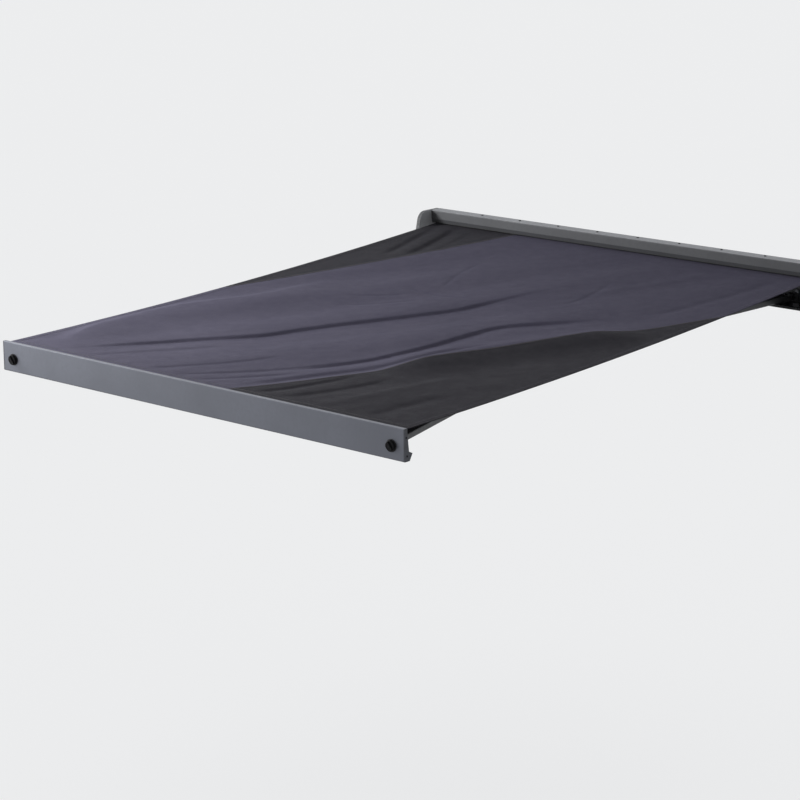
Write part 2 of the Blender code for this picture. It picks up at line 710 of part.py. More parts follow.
def plug(name, matrix, inward, start, end, trim):
    """The spigot of an arm fitting, which fills the tube's bore."""
    middle = matrix @ Matrix.Translation((inward * (start + end) / 2, 0, 0))
    wide = BAR_WIDTH / 2 - trim - BAR_WALL - TOUCH
    tall = BAR_HEIGHT / 2 - trim - BAR_WALL - TOUCH
    outline = box_outline(-wide, wide, -tall, tall, BAR_ROUND - BAR_WALL)
    return prism(name, [outline], abs(end - start), along_bar(middle))


def eye(name, matrix, inward, trim, parent):
    """An eye on the bar's own line, with its collar and spigot."""
    half = BAR_WIDTH / 2 - trim
    tongue = arc(0, 0, EYE_RADIUS, math.pi / 2, 3 * math.pi / 2, 12)
    seat = BLOCK_START + JOIN_OVERLAP
    tongue += [(seat, -half + TOUCH), (seat, half - TOUCH)]
    body = prism(name, [mirrored(tongue, inward)], TONGUE_HEIGHT, matrix, DARK_CASE, parent)
    collar = box_outline(BLOCK_START, FITTING_LENGTH, -half, half)
    fuse(body, prism(name + "_collar", [mirrored(collar, inward)], BAR_HEIGHT - 2 * trim, matrix))
    fuse(body, plug(name + "_spigot", matrix, inward, FITTING_LENGTH - JOIN_OVERLAP,
                    FITTING_LENGTH + PLUG_REACH, trim))
    drill(body, PIN_HOLE, BAR_HEIGHT, [matrix])


def elbow_outline(inward, face):
    """Plan of an elbow half about its pivot. Face is +1 where the bar lies behind the pivot."""
    far = ELBOW_OFFSET + BAR_WIDTH / 2
    start = math.pi - math.asin(NECK_START / EYE_RADIUS)
    plan = arc(0, 0, EYE_RADIUS, start, GUSSET_ANGLE + 2 * math.pi, 18)
    plan += [(-BLOCK_START, far), (-FITTING_LENGTH, far), (-FITTING_LENGTH, NECK_START)]
    return mirrored(plan, inward, face)


def elbow_fork(name, frame, inward, parent):
    """Fork on the upper arm: two lugs about the pivot, and a spigot in the tube."""
    pivot = frame @ Matrix.Translation((inward * ELBOW_ALONG, -ELBOW_OFFSET, 0))
    fork = prism(name, [elbow_outline(inward, 1)], BAR_HEIGHT, pivot, DARK_CASE, parent)
    slot = box_outline(-BLOCK_START, 2 * BLOCK_START, -3 * BLOCK_START, 3 * BLOCK_START)
    cut(fork, prism(name + "_slot", [mirrored(slot, inward)], SLOT_HEIGHT, pivot))
    drill(fork, PIN_HOLE, 2 * BAR_HEIGHT, [pivot])
    fuse(fork, plug(name + "_spigot", frame, inward, ELBOW_ALONG - FITTING_LENGTH - PLUG_REACH,
                    ELBOW_ALONG - FITTING_LENGTH + JOIN_OVERLAP, 0))


def elbow_tongue(name, frame, inward, parent):
    """Tongue on the forearm, between the fork's lugs, with its block and spigot."""
    tongue = prism(name, [elbow_outline(inward, -1)], TONGUE_HEIGHT, frame, DARK_CASE, parent)
    trim = FOREARM_TRIM
    near = ELBOW_OFFSET - BAR_WIDTH / 2
    far = ELBOW_OFFSET + BAR_WIDTH / 2
    block = box_outline(-FITTING_LENGTH, -BLOCK_START, -far + trim, -near - trim)
    fuse(tongue, prism(name + "_block", [mirrored(block, inward)], BAR_HEIGHT - 2 * trim, frame))
    drill(tongue, PIN_HOLE, BAR_HEIGHT, [frame])
    line = frame @ Matrix.Translation((0, -ELBOW_OFFSET, 0))
    fuse(tongue, plug(name + "_spigot", line, -inward, FITTING_LENGTH - JOIN_OVERLAP,
                      FITTING_LENGTH + PLUG_REACH, trim))


def shoulder_bracket(name, side):
    """Casting on the back wall: a plate with two lugs round the shoulder pin."""
    x = side * SHOULDER_POSITION
    drop = arm_drop(side)
    pivot = arm_plane(x, SHOULDER_DEPTH, drop)
    rear = PROFILE_WALL + TOUCH
    low = -CASSETTE_HEIGHT + PROFILE_WALL + PORT_SIZE + TOUCH
    plate = box_outline(rear, rear + BRACKET_PLATE, low, -drop + BRACKET_RISE)
    bracket = prism(name, [plate], BRACKET_WIDTH, section(x), DARK_CASE)
    lugs = arc(0, 0, EYE_RADIUS, -math.pi, 0, 12)
    lugs += [(EYE_RADIUS, BRACKET_REACH), (-EYE_RADIUS, BRACKET_REACH)]
    head = prism(name + "_lugs", [lugs], BAR_HEIGHT, pivot)
    slot = box_outline(-3 * EYE_RADIUS, 3 * EYE_RADIUS, -3 * EYE_RADIUS, SLOT_BACK)
    cut(head, prism(name + "_slot", [slot], SLOT_HEIGHT, pivot))
    drill(head, PIN_HOLE, 2 * BAR_HEIGHT, [pivot])
    fuse(bracket, head)
    rods(name.replace("bracket", "pin"), PIN_RADIUS, BAR_HEIGHT, [pivot], ROUND, STEEL)


def wrist_bracket(name, side, parent):
    """Bracket on the rail's back: a sloping plate, a web over the gutter and a fork for the arm's eye."""
    x = side * SHOULDER_POSITION
    drop = arm_drop(side) + BAR_SPACING * math.sin(SLOPE) - (RAIL_TOP_DROP - RAIL_DROP)
    pivot = wrist_pivot(side)
    back = TOUCH + BRACKET_PLATE
    plate = [(rail_back(h) + gap, h) for h, gap in
             ((WRIST_PLATE_TOP, TOUCH), (WRIST_PLATE_END, TOUCH), (WRIST_PLATE_END, back),
              (WRIST_PLATE_TOP, back))]
    frame = rail_section(x)
    bracket = prism(name, [mirrored(plate, -1, -1)], WRIST_PLATE_WIDTH, frame, DARK_CASE, parent)
    half = BAR_HEIGHT / 2 - WRIST_WEB_INSET
    front = WRIST_DEPTH - WRIST_BLOCK + WRIST_WEB_INSET
    lap = front + WRIST_WEB_LAP
    inside = BRACKET_PLATE / 2
    top = WRIST_WEB_TOPS[side]
    knee = min(drop + half - WRIST_WEB_INSET, WRIST_WEB_END + WRIST_WEB_LAP)
    web = [(rail_back(top) + inside, top), (lap, drop - half), (lap, drop + half), (front, drop + half),
           (front, knee), (rail_back(WRIST_WEB_END) + inside, WRIST_WEB_END)]
    wide = 2 * (EYE_RADIUS - WRIST_WEB_INSET)
    fuse(bracket, prism(name + "_web", [mirrored(web, -1, -1)], wide, frame))
    lugs = arc(0, 0, EYE_RADIUS, 0, math.pi, 12) + [(-EYE_RADIUS, -WRIST_BLOCK), (EYE_RADIUS, -WRIST_BLOCK)]
    head = prism(name + "_lugs", [lugs], BAR_HEIGHT, pivot)
    slot = box_outline(-3 * EYE_RADIUS, 3 * EYE_RADIUS, -SLOT_BACK, 3 * EYE_RADIUS)
    cut(head, prism(name + "_slot", [slot], SLOT_HEIGHT, pivot))
    drill(head, PIN_HOLE, 2 * BAR_HEIGHT, [pivot])
    fuse(bracket, head)
    rods(name.replace("bracket", "pin"), PIN_RADIUS, BAR_HEIGHT, [pivot], ROUND, STEEL, parent)


def rail_back(height):
    """Depth of the rail's back wall behind its front face, at a height below its top."""
    end, low = RAIL_BACK_MIDDLE
    share = (height - RAIL_HEAD) / (low - RAIL_HEAD)
    return RAIL_TOP_DEPTH + share * (end - RAIL_TOP_DEPTH)


def wrist_pivot(side):
    """The wrist's place when the awning is open."""
    depth = SHOULDER_DEPTH + ARM_REACH * math.cos(SLOPE)
    return arm_plane(side * SHOULDER_POSITION, depth, arm_drop(side) + ARM_REACH * math.sin(SLOPE))


def arms():
    """Both folding arms, each with its empties on the joint axes."""
    rail_axis = None
    for name, side in (("left", -1), ("right", 1)):
        inward = -side
        shoulder = arm_plane(side * SHOULDER_POSITION, SHOULDER_DEPTH, arm_drop(side),
                             -inward * OPEN_TURN)
        upper = axis_empty(name + "_shoulder_axis", shoulder)
        elbow = shoulder @ Matrix.Translation((inward * ELBOW_ALONG, -ELBOW_OFFSET, 0))
        elbow = elbow @ Matrix.Rotation(2 * inward * OPEN_TURN, 4, "Z")
        lower = axis_empty(name + "_elbow_axis", elbow, upper)
        wrist = elbow @ Matrix.Translation((-inward * ELBOW_ALONG, -ELBOW_OFFSET, 0))
        if side < 0:
            rail_axis = axis_empty("left_wrist_axis", wrist_pivot(side), lower)
        start = FITTING_LENGTH + TOUCH
        end = ELBOW_ALONG - FITTING_LENGTH - TOUCH
        bar(name + "_upper_arm", shoulder, inward, start, end, 0, upper)
        eye(name + "_shoulder_eye", shoulder, inward, 0, upper)
        elbow_fork(name + "_elbow_fork", shoulder, inward, upper)
        rods(name + "_elbow_pin", PIN_RADIUS, BAR_HEIGHT, [elbow], ROUND, STEEL, upper)
        spring_start = start + PLUG_REACH + TOUCH
        middle = shoulder @ Matrix.Translation((inward * (spring_start + SPRING_LENGTH / 2), 0, 0))
        prism(name + "_arm_spring",
              [ring(SPRING_RADIUS, SMALL_ROUND), ring(SPRING_RADIUS - SPRING_WIRE, SMALL_ROUND)],
              SPRING_LENGTH, along_bar(middle), STEEL, upper)
        bar(name + "_forearm", wrist, inward, start, end, FOREARM_TRIM, lower)
        elbow_tongue(name + "_elbow_tongue", elbow, inward, lower)
        eye(name + "_wrist_eye", wrist, inward, FOREARM_TRIM, lower)
        shoulder_bracket(name + "_shoulder_bracket", side)
    return rail_axis


# Front rail

def rail_outline(grooved=True):
    """The rail's outer section, in (depth behind the face, drop below the top)."""
    head = RAIL_HEAD
    outline = [(0, RAIL_HEIGHT - RAIL_EDGE), (0, RAIL_EDGE), (RAIL_EDGE_CUT, RAIL_EDGE_CUT),
               (RAIL_EDGE, 0), (RAIL_TOP_DEPTH, 0)]
    if grooved:
        groove = RAIL_KEDER + TOUCH
        opening = math.asin(RAIL_MOUTH / 2 / groove)
        rim = arc(RAIL_KEDER_DEPTH, RAIL_KEDER_DROP, groove, -opening, opening - 2 * math.pi, 14)
        outline += [(RAIL_TOP_DEPTH, rim[0][1])] + rim + [(RAIL_TOP_DEPTH, rim[-1][1])]
    lip_x, lip_y = RAIL_LIP
    outline += [(RAIL_TOP_DEPTH, head), RAIL_BACK_MIDDLE]
    if grooved:
        outline += [RAIL_TROUGH, (lip_x - RAIL_LIP_WALL, lip_y - RAIL_LIP_SLANT)]
    outline += [(lip_x, lip_y), (RAIL_FOOT, RAIL_HEIGHT), (RAIL_EDGE, RAIL_HEIGHT)]
    return mirrored(outline, -1, -1)


def front_rail(parent):
    wall = RAIL_WALL
    back, low = RAIL_BACK_MIDDLE
    trough, trough_low = RAIL_TROUGH
    top = RAIL_HEAD + wall / 2
    floor = RAIL_HEIGHT - wall
    cavity = [(wall, top), (wall, floor), (trough - wall, floor), (trough - wall, trough_low),
              (back - wall, low), (rail_back(top) - wall, top)]
    length = 2 * (RAIL_HALF_LENGTH - RAIL_END_CAP - TOUCH)
    rail = prism("front_rail", [rail_outline(), mirrored(cavity, -1, -1)], length, rail_section(0),
                 RAIL_GREY, parent)
    drill(rail, SPINDLE_RADIUS + TOUCH, 4 * back, [latch_place(side) for side in (-1, 1)])
    for name, side in (("left", -1), ("right", 1)):
        middle = rail_section(side * (RAIL_HALF_LENGTH - RAIL_END_CAP / 2))
        prism("rail_end_cap_" + name, [rail_outline(False)], RAIL_END_CAP, middle, RAIL_GREY, parent)
        wrist_bracket(name + "_wrist_bracket", side, parent)
    rod = rail_section(0) @ Matrix.Translation((-RAIL_KEDER_DEPTH, -RAIL_KEDER_DROP, 0))
    rods("front_keder", RAIL_KEDER, CLOTH_WIDTH, [rod], SMALL_ROUND, BLACK_PLASTIC, parent)


# Latches

def latch_place(side):
    """On the rail's front face at a latch, local z pointing backwards."""
    at = rail_section(side * LATCH_POSITION) @ Matrix.Translation((0, -LATCH_DROP, 0))
    return at @ toward((-1, 0, 0))


def knob_outline():
    """The knob's lobed outline."""
    outline = []
    for i in range(FINE_ROUND):
        angle = 2 * math.pi * i / FINE_ROUND
        radius = KNOB_RADIUS * (1 - KNOB_LOBE_DEPTH * (1 - math.cos(KNOB_LOBES * angle)))
        outline.append((radius * math.cos(angle), radius * math.sin(angle)))
    return outline


def latches(parent):
    """Two quarter-turn knobs, each with a ring on the rail and a cam behind it."""
    for name, side in (("left", -1), ("right", 1)):
        at = latch_place(side)
        hole = ring(SPINDLE_RADIUS + TOUCH, ROUND)
        plate = at @ Matrix.Translation((0, 0, -TOUCH - RING_HEIGHT / 2))
        prism(name + "_latch_ring", [ring(RING_RADIUS, ROUND), hole], RING_HEIGHT, plate, BLACK_PLASTIC,
              parent)
        turn = axis_empty(name + "_latch_axis", at, parent)
        back = -TOUCH - RING_HEIGHT - TOUCH
        middle = at @ Matrix.Translation((0, 0, back - KNOB_DEPTH / 2))
        knob = prism(name + "_latch_knob", [knob_outline()], KNOB_DEPTH, middle, BLACK_PLASTIC, turn,
                     edge_round=KNOB_EDGE)
        length = CAM_DEPTH + CAM_WALL + SPINDLE_END - back + JOIN_OVERLAP
        spindle = at @ Matrix.Translation((0, 0, back - JOIN_OVERLAP + length / 2))
        fuse(knob, rods(name + "_spindle", SPINDLE_RADIUS, length, [spindle], ROUND))
        behind = Matrix.Translation((-CAM_DEPTH - CAM_WALL / 2, -LATCH_DROP, 0))
        flat = rail_section(side * LATCH_POSITION) @ behind @ Matrix.Rotation(math.pi / 2, 4, "Y")
        lever = arc(0, 0, CAM_HUB, math.asin(CAM_HALF_WIDTH / CAM_HUB),
                    2 * math.pi - math.asin(CAM_HALF_WIDTH / CAM_HUB), 14)
        lever += arc(CAM_REACH - CAM_HALF_WIDTH, 0, CAM_HALF_WIDTH, -math.pi / 2, math.pi / 2, 6)
        prism(name + "_latch_cam", [mirrored(lever, -side), hole], CAM_WALL, flat, STEEL, turn)


back_profile()
cover_shell()
end_pieces()
feet()
seals()
cable_gland()
latch_keepers()
roller()
canopy()
rail_frame = arms()
front_rail(rail_frame)
latches(rail_frame)
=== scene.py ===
"""A side awning, wide open, dressed in cloth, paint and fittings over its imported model."""
import math

import bmesh
import bpy
import numpy as np
from mathutils import Matrix, Vector


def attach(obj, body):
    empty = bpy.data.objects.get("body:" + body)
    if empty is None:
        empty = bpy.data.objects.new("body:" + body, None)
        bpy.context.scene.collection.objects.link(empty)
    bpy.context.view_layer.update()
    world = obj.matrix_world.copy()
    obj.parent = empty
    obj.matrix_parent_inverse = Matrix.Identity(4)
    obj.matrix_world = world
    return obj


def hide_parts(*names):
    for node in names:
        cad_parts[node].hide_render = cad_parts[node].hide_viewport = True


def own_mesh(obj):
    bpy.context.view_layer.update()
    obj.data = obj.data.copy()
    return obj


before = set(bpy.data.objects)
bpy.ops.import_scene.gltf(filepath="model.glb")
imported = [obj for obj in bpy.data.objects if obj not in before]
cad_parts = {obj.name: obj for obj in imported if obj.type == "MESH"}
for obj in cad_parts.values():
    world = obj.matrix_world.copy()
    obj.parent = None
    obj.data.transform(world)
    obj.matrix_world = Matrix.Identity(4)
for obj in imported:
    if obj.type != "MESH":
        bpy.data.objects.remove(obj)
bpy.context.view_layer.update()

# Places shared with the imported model, in metres
BACK_Y = 0.0405
TOP_Z = 0.175
CLOTH_OUT = 2.357
CLOTH_FALL = 0.100
SLOPE = math.asin(CLOTH_FALL / math.hypot(CLOTH_OUT, CLOTH_FALL))
DOWN_SLOPE = Vector((0, -math.cos(SLOPE), -math.sin(SLOPE)))
OFF_SLOPE = Vector((0, -math.sin(SLOPE), math.cos(SLOPE)))
ROLLER = Vector((0, 0.0115, 0.139))
CLOTH_RADIUS = 0.0221
CLOTH_START = ROLLER - OFF_SLOPE * CLOTH_RADIUS
CLOTH_RUN = 2.46235
CLOTH_HALF = 0.9672
RAIL_FACE = -2.4595
RAIL_TOP = 0.0189041
RAIL_HALF = 0.9767
LATCH_X = 0.921
LATCH_Z = -0.0440959
SHOULDER_X = 0.840
SHOULDER_DEPTH = 0.032
ELBOW_X = 0.6284850
ARM_REACH = 0.040 + math.hypot(CLOTH_OUT, CLOTH_FALL)
ARM_DROPS = {-1: 0.118, 1: 0.147}
SIDES = (("left", -1), ("right", 1))
FEET = (-0.700, 0.0, 0.700)
FLOOR_Z = -1.9


# Materials

class Finish:
    """One procedural material. Its lengths are in metres, in the frame of the piece at rest."""

    def __init__(self, name, colour, roughness, metallic=0.0, **sockets):
        self.material = bpy.data.materials.new(name)
        self.material.use_nodes = True
        self.tree = self.material.node_tree
        self.shader = self.tree.nodes["Principled BSDF"]
        self.place = self.add("ShaderNodeTexCoord").outputs["Object"]
        self.set(Base_Color=(*colour, 1), Roughness=roughness, Metallic=metallic, **sockets)

    def set(self, **sockets):
        for name, value in sockets.items():
            self.join(value, self.shader.inputs[name.replace("_", " ")])

    def join(self, value, socket):
        if isinstance(value, bpy.types.NodeSocket):
            self.tree.links.new(value, socket)
        else:
            socket.default_value = value

    def add(self, kind, inputs=None, **settings):
        node = self.tree.nodes.new(kind)
        for key, value in settings.items():
            setattr(node, key, value)
        for key, value in (inputs or {}).items():
            self.join(value, node.inputs[key])
        return node

    def turned(self, scale, angle=0.0):
        """Coordinates turned about Z, then scaled: the first scale lies along the turned X."""
        turn = self.add("ShaderNodeMapping", {"Vector": self.place, "Rotation": (0, 0, -angle)})
        return self.add("ShaderNodeMapping", {"Vector": turn.outputs[0], "Scale": scale}).outputs[0]

    def noise(self, scale, detail=2.0, roughness=0.5, vector=None):
        inputs = {"Vector": vector or self.place, "Scale": scale, "Detail": detail, "Roughness": roughness}
        return self.add("ShaderNodeTexNoise", inputs).outputs["Fac"]

    def spread(self, value, low, high, start=0.0, end=1.0):
        """A value from low..high mapped onto start..end, and held inside it."""
        inputs = {"Value": value, "From Min": low, "From Max": high, "To Min": start, "To Max": end}
        return self.add("ShaderNodeMapRange", inputs, clamp=True).outputs["Result"]

    def calc(self, operation, *values):
        node = self.add("ShaderNodeMath", operation=operation)
        for socket, value in zip(node.inputs, values):
            self.join(value, socket)
        return node.outputs[0]

    def blend(self, factor, first, second, kind="MIX"):
        node = self.add("ShaderNodeMix", data_type="RGBA", blend_type=kind)
        self.join(factor, node.inputs[0])
        for socket, value in ((node.inputs[6], first), (node.inputs[7], second)):
            self.join(value if isinstance(value, bpy.types.NodeSocket) else (*value, 1), socket)
        return node.outputs[2]

    def edges(self, radius, low=0.03, high=0.2):
        """1 along edges rounder than a radius, else 0."""
        bevel = self.add("ShaderNodeBevel", {"Radius": radius}, samples=4)
        normal = self.add("ShaderNodeNewGeometry").outputs["Normal"]
        dot = self.add("ShaderNodeVectorMath", operation="DOT_PRODUCT")
        self.join(bevel.outputs[0], dot.inputs[0])
        self.join(normal, dot.inputs[1])
        return self.spread(self.calc("SUBTRACT", 1.0, dot.outputs["Value"]), low, high)

    def bump(self, height, distance, normal=None, strength=1.0):
        inputs = {"Height": height, "Distance": distance, "Strength": strength}
        if normal is not None:
            inputs["Normal"] = normal
        return self.add("ShaderNodeBump", inputs).outputs["Normal"]


def scaled(colour, factor):
    return tuple(c * factor for c in colour)


# Painted shade: the colour that darkens the paint below a height, with a soft and ragged edge
LIP_SHADE = (0.62, 0.61, 0.60)
LIP_SHADE_BLUR = 0.006
LIP_SHADE_RAGGED = 0.004
DUST = (0.45, 0.44, 0.42)


def coated(name, colour, roughness=0.42, metallic=0.35, streaks=True, dust=0.05, angle=0.0,
           specular=0.5, painted_top_light=1.0, rim=1.0, lip_shade_below=None):
    """Satin powder coat: fine orange peel, die streaks at an angle, rubbed edges and a little dust.

    The top light multiplies the colour of faces that slant upwards, a painted light; the rim multiplies that
    of faces that don't look straight along X, so that a light base colour stays on faces looking along X as
    painted light; and below a given height painted shade darkens the paint.
    """
    f = Finish(name, colour, roughness, metallic, Specular_IOR_Level=specular)
    broad = f.noise(5.0, 3.0)
    fine = f.noise(60.0, 3.0)
    paint = f.blend(f.spread(broad, 0.35, 0.65), scaled(colour, 0.93), scaled(colour, 1.06))
    paint = f.blend(f.spread(fine, 0.4, 0.7, 0.0, 0.35), paint, scaled(colour, 0.88))
    look = f.add("ShaderNodeSeparateXYZ", {"Vector": f.add("ShaderNodeNewGeometry").outputs["Normal"]})
    upwards = look.outputs["Z"]
    if painted_top_light != 1.0:
        # Painted light: faces that slant upwards get a multiplied, lighter colour
        paint = f.blend(f.spread(upwards, 0.50, 0.80), paint, (painted_top_light,) * 3, "MULTIPLY")
    if rim != 1.0:
        # Painted light by direction: faces not looking along X are multiplied by the rim, so only those
        # looking along X keep the light base colour
        around = f.spread(f.calc("ABSOLUTE", look.outputs["X"]), 0.80, 0.98, 1.0, 0.0)
        paint = f.blend(around, paint, (rim,) * 3, "MULTIPLY")
    if lip_shade_below is not None:
        # Painted shade: below the given height the paint is darkened, along a ragged line
        height = f.add("ShaderNodeSeparateXYZ", {"Vector": f.place}).outputs["Z"]
        ragged = f.calc("MULTIPLY_ADD", f.noise(30.0, 3.0), LIP_SHADE_RAGGED, height)
        low = f.spread(ragged, lip_shade_below, lip_shade_below + LIP_SHADE_BLUR, 1.0, 0.0)
        paint = f.blend(low, paint, LIP_SHADE, "MULTIPLY")
    settled = f.calc("MULTIPLY", f.spread(upwards, 0.6, 1.0), f.spread(f.noise(14.0, 5.0), 0.4, 0.75))
    paint = f.blend(f.calc("MULTIPLY", settled, dust), paint, DUST)
    rubbed = f.calc("MULTIPLY", f.edges(0.0012), f.spread(f.noise(90.0, 4.0), 0.42, 0.62))
    paint = f.blend(f.calc("MULTIPLY", rubbed, 0.55), paint, scaled(colour, 1.9))
    f.set(Base_Color=paint, Roughness=f.spread(fine, 0.3, 0.7, roughness - 0.05, roughness + 0.07))
    normal = f.bump(f.noise(900.0, 2.0), 0.00005)
    if streaks:
        normal = f.bump(f.noise(1.0, 2.0, vector=f.turned((3.0, 700.0, 700.0), angle)), 0.00003, normal)
    f.set(Normal=normal)
    return f.material


def drawn(name, colour, angle, roughness):
    """Anodised tube, with faint die lines along it and rubbed patches."""
    f = Finish(name, colour, roughness, 1.0)
    along = f.turned((2.5, 420.0, 420.0), angle)
    lines = f.noise(1.0, 3.0, vector=along)
    cloudy = f.noise(9.0, 3.0)
    tone = f.blend(f.spread(lines, 0.3, 0.7), scaled(colour, 0.90), scaled(colour, 1.04))
    tone = f.blend(f.spread(cloudy, 0.4, 0.7, 0.0, 0.4), tone, scaled(colour, 0.86))
    f.set(Base_Color=tone, Roughness=f.spread(cloudy, 0.3, 0.7, roughness - 0.05, roughness + 0.10))
    f.set(Normal=f.bump(lines, 0.00003))
    return f.material


def cast(name, colour, roughness=0.5):
    """Painted die casting: a slightly pebbled skin, cloudy in tone, rubbed on its edges."""
    f = Finish(name, colour, roughness, 0.3)
    pebble = f.noise(420.0, 3.0)
    cloudy = f.noise(30.0, 3.0)
    tone = f.blend(f.spread(cloudy, 0.35, 0.65), scaled(colour, 0.85), scaled(colour, 1.12))
    rubbed = f.calc("MULTIPLY", f.edges(0.0012), f.spread(f.noise(140.0, 3.0), 0.40, 0.60))
    tone = f.blend(f.calc("MULTIPLY", rubbed, 0.6), tone, scaled(colour, 2.2))
    f.set(Base_Color=tone, Roughness=f.spread(pebble, 0.3, 0.7, roughness - 0.06, roughness + 0.08))
    f.set(Normal=f.bump(pebble, 0.00018))
    return f.material


def moulded(name, colour, roughness=0.5, grain=0.00010, specular=0.5):
    """Moulded plastic with a spark-eroded grain and scuffed edges."""
    f = Finish(name, colour, roughness, Specular_IOR_Level=specular)
    skin = f.noise(1600.0, 2.0)
    cloudy = f.noise(25.0, 3.0)
    tone = f.blend(f.spread(cloudy, 0.35, 0.65), scaled(colour, 0.85), scaled(colour, 1.15))
    scuffed = f.calc("MULTIPLY", f.edges(0.0010), f.spread(f.noise(220.0, 3.0), 0.45, 0.65))
    tone = f.blend(f.calc("MULTIPLY", scuffed, 0.4), tone, tuple(c * 1.4 + 0.01 for c in colour))
    f.set(Base_Color=tone, Roughness=f.spread(cloudy, 0.3, 0.7, roughness - 0.08, roughness + 0.06))
    f.set(Normal=f.bump(skin, grain))
    return f.material


def plated(name, colour, roughness):
    """Zinc plated or stainless steel: fine grain, cloudy sheen and dull spots."""
    f = Finish(name, colour, roughness, 1.0)
    fine = f.noise(1200.0, 3.0)
    cloudy = f.noise(70.0, 4.0)
    tone = f.blend(f.spread(cloudy, 0.35, 0.7), scaled(colour, 1.03), scaled(colour, 0.80))
    f.set(Base_Color=tone, Roughness=f.spread(cloudy, 0.3, 0.7, roughness - 0.08, roughness + 0.14))
    f.set(Normal=f.bump(fine, 0.00002))
    return f.material


def rubber(name, colour=(0.014, 0.014, 0.015)):
    """Extruded seal rubber: matt, with a dusty bloom."""
    f = Finish(name, colour, 0.8)
    bloom = f.noise(40.0, 4.0)
    tone = f.blend(f.spread(bloom, 0.4, 0.75, 0.0, 0.5), colour, (0.05, 0.05, 0.05))
    f.set(Base_Color=tone, Roughness=f.spread(bloom, 0.3, 0.7, 0.7, 0.9))
    f.set(Normal=f.bump(f.noise(1.0, 2.0, vector=f.turned((4.0, 900.0, 900.0))), 0.00004))
    return f.material


SLATE = (0.0755, 0.0710, 0.105)
CHARCOAL = (0.024, 0.023, 0.029)
# Painted shade: the cloth's colour is multiplied by this towards the housing, where the light falls off
HOUSING_SHADE = (0.74, 0.74, 0.76)
WEAVE_PITCH = 0.0011
# Along Y, from where the painted shade on the cloth begins to where it is deepest, next to the housing
SHADE_START_Y, SHADE_FULL_Y = -1.9, -0.1
SEAM_BLUR = 0.0003
# Two tapered corner panels, each cut off by one straight seam: side, then across and run at both ends
SEAMS = ((-1, (-0.520, 0.0), (-CLOTH_HALF, 1.350)),
         (1, (CLOTH_HALF, 0.640), (0.155, CLOTH_RUN)))


def seam_slope(seam):
    """How far a seam goes across for each metre of the run, and its place across at the roller."""
    (x0, run0), (x1, run1) = seam[1:]
    slope = (x1 - x0) / (run1 - run0)
    return slope, x0 - slope * run0


def canvas(name, slate=SLATE, panels=True):
    """Woven acrylic cloth: a plain weave, slubs, broad mottling and two sewn-in side panels."""
    f = Finish(name, slate, 0.88, Sheen_Weight=0.02, Sheen_Roughness=0.5, Specular_IOR_Level=0.08)
    place = f.add("ShaderNodeSeparateXYZ", {"Vector": f.place})
    x, y = place.outputs["X"], place.outputs["Y"]
    wave = 2 * math.pi / WEAVE_PITCH
    warp = f.calc("SINE", f.calc("MULTIPLY", x, wave))
    weft = f.calc("SINE", f.calc("MULTIPLY", y, wave))
    weave = f.calc("MULTIPLY", warp, weft)
    slubs_along = f.noise(1.0, 2.0, vector=f.turned((900.0, 25.0, 25.0)))
    slubs_across = f.noise(1.0, 2.0, vector=f.turned((25.0, 900.0, 25.0)))
    slubs = f.calc("ADD", slubs_along, slubs_across)
    broad = f.noise(3.0, 3.0)
    patches = f.noise(22.0, 4.0, 0.6)
    tone = slate
    if panels:
        dark = None
        for seam in SEAMS:
            slope, start = seam_slope(seam)
            line = f.calc("MULTIPLY_ADD", y, -slope / math.cos(SLOPE), start + slope * CLOTH_START.y)
            beyond = f.calc("MULTIPLY", f.calc("SUBTRACT", x, line), seam[0])
            here = f.spread(beyond, -SEAM_BLUR, SEAM_BLUR)
            dark = here if dark is None else f.calc("MAXIMUM", dark, here)
        tone = f.blend(dark, slate, CHARCOAL)
        # Painted shade: the cloth gets darker along Y towards the housing
        tone = f.blend(f.spread(y, SHADE_START_Y, SHADE_FULL_Y), tone, HOUSING_SHADE, "MULTIPLY")
    tone = f.blend(f.spread(broad, 0.35, 0.65), tone, (0.93, 0.93, 0.94), "MULTIPLY")
    tone = f.blend(f.spread(patches, 0.35, 0.70, 0.0, 0.5), tone, (0.88, 0.88, 0.90), "MULTIPLY")
    tone = f.blend(f.spread(slubs, 0.8, 1.25, 0.0, 0.5), tone, (1.18, 1.18, 1.18), "MULTIPLY")
    f.set(Base_Color=tone, Roughness=f.spread(patches, 0.3, 0.7, 0.80, 0.92))
    normal = f.bump(weave, 0.00012, strength=0.7)
    f.set(Normal=f.bump(slubs, 0.00010, normal))
    return f.material


def thread(name, colour):
    """Twisted sewing thread."""
    f = Finish(name, colour, 0.7, Sheen_Weight=0.3)
    twist = f.noise(1400.0, 2.0)
    f.set(Base_Color=f.blend(f.spread(twist, 0.35, 0.65), scaled(colour, 0.75), scaled(colour, 1.2)))
    f.set(Normal=f.bump(twist, 0.0001))
    return f.material


CASE = (0.090, 0.092, 0.097)
COVER = (0.080, 0.082, 0.088)
# Painted light: the end plates' faces looking along X take this light colour in place of light the lamps
# don't give; their rims are darkened back
PLATE = (0.500, 0.510, 0.535)
RAIL = (0.148, 0.157, 0.188)
RAIL_END = (0.085, 0.090, 0.105)
ARM = (0.060, 0.062, 0.066)
CASTING = (0.075, 0.077, 0.081)
MOTOR = (0.030, 0.031, 0.034)
BLACK = (0.014, 0.014, 0.015)
KNOB = (0.004, 0.004, 0.005)
SILVER = (0.60, 0.61, 0.63)
STEEL = (0.42, 0.43, 0.45)
BLACK_ZINC = (0.022, 0.022, 0.024)
TAPE = (0.050, 0.047, 0.055)
THREAD = (0.030, 0.029, 0.033)
# How far below the rail's top the painted shade along its lower lip begins, and how far each arm tube turns
# from X
LIP_SHADE_DROP = 0.108
ARM_TURN = math.radians(80.0)

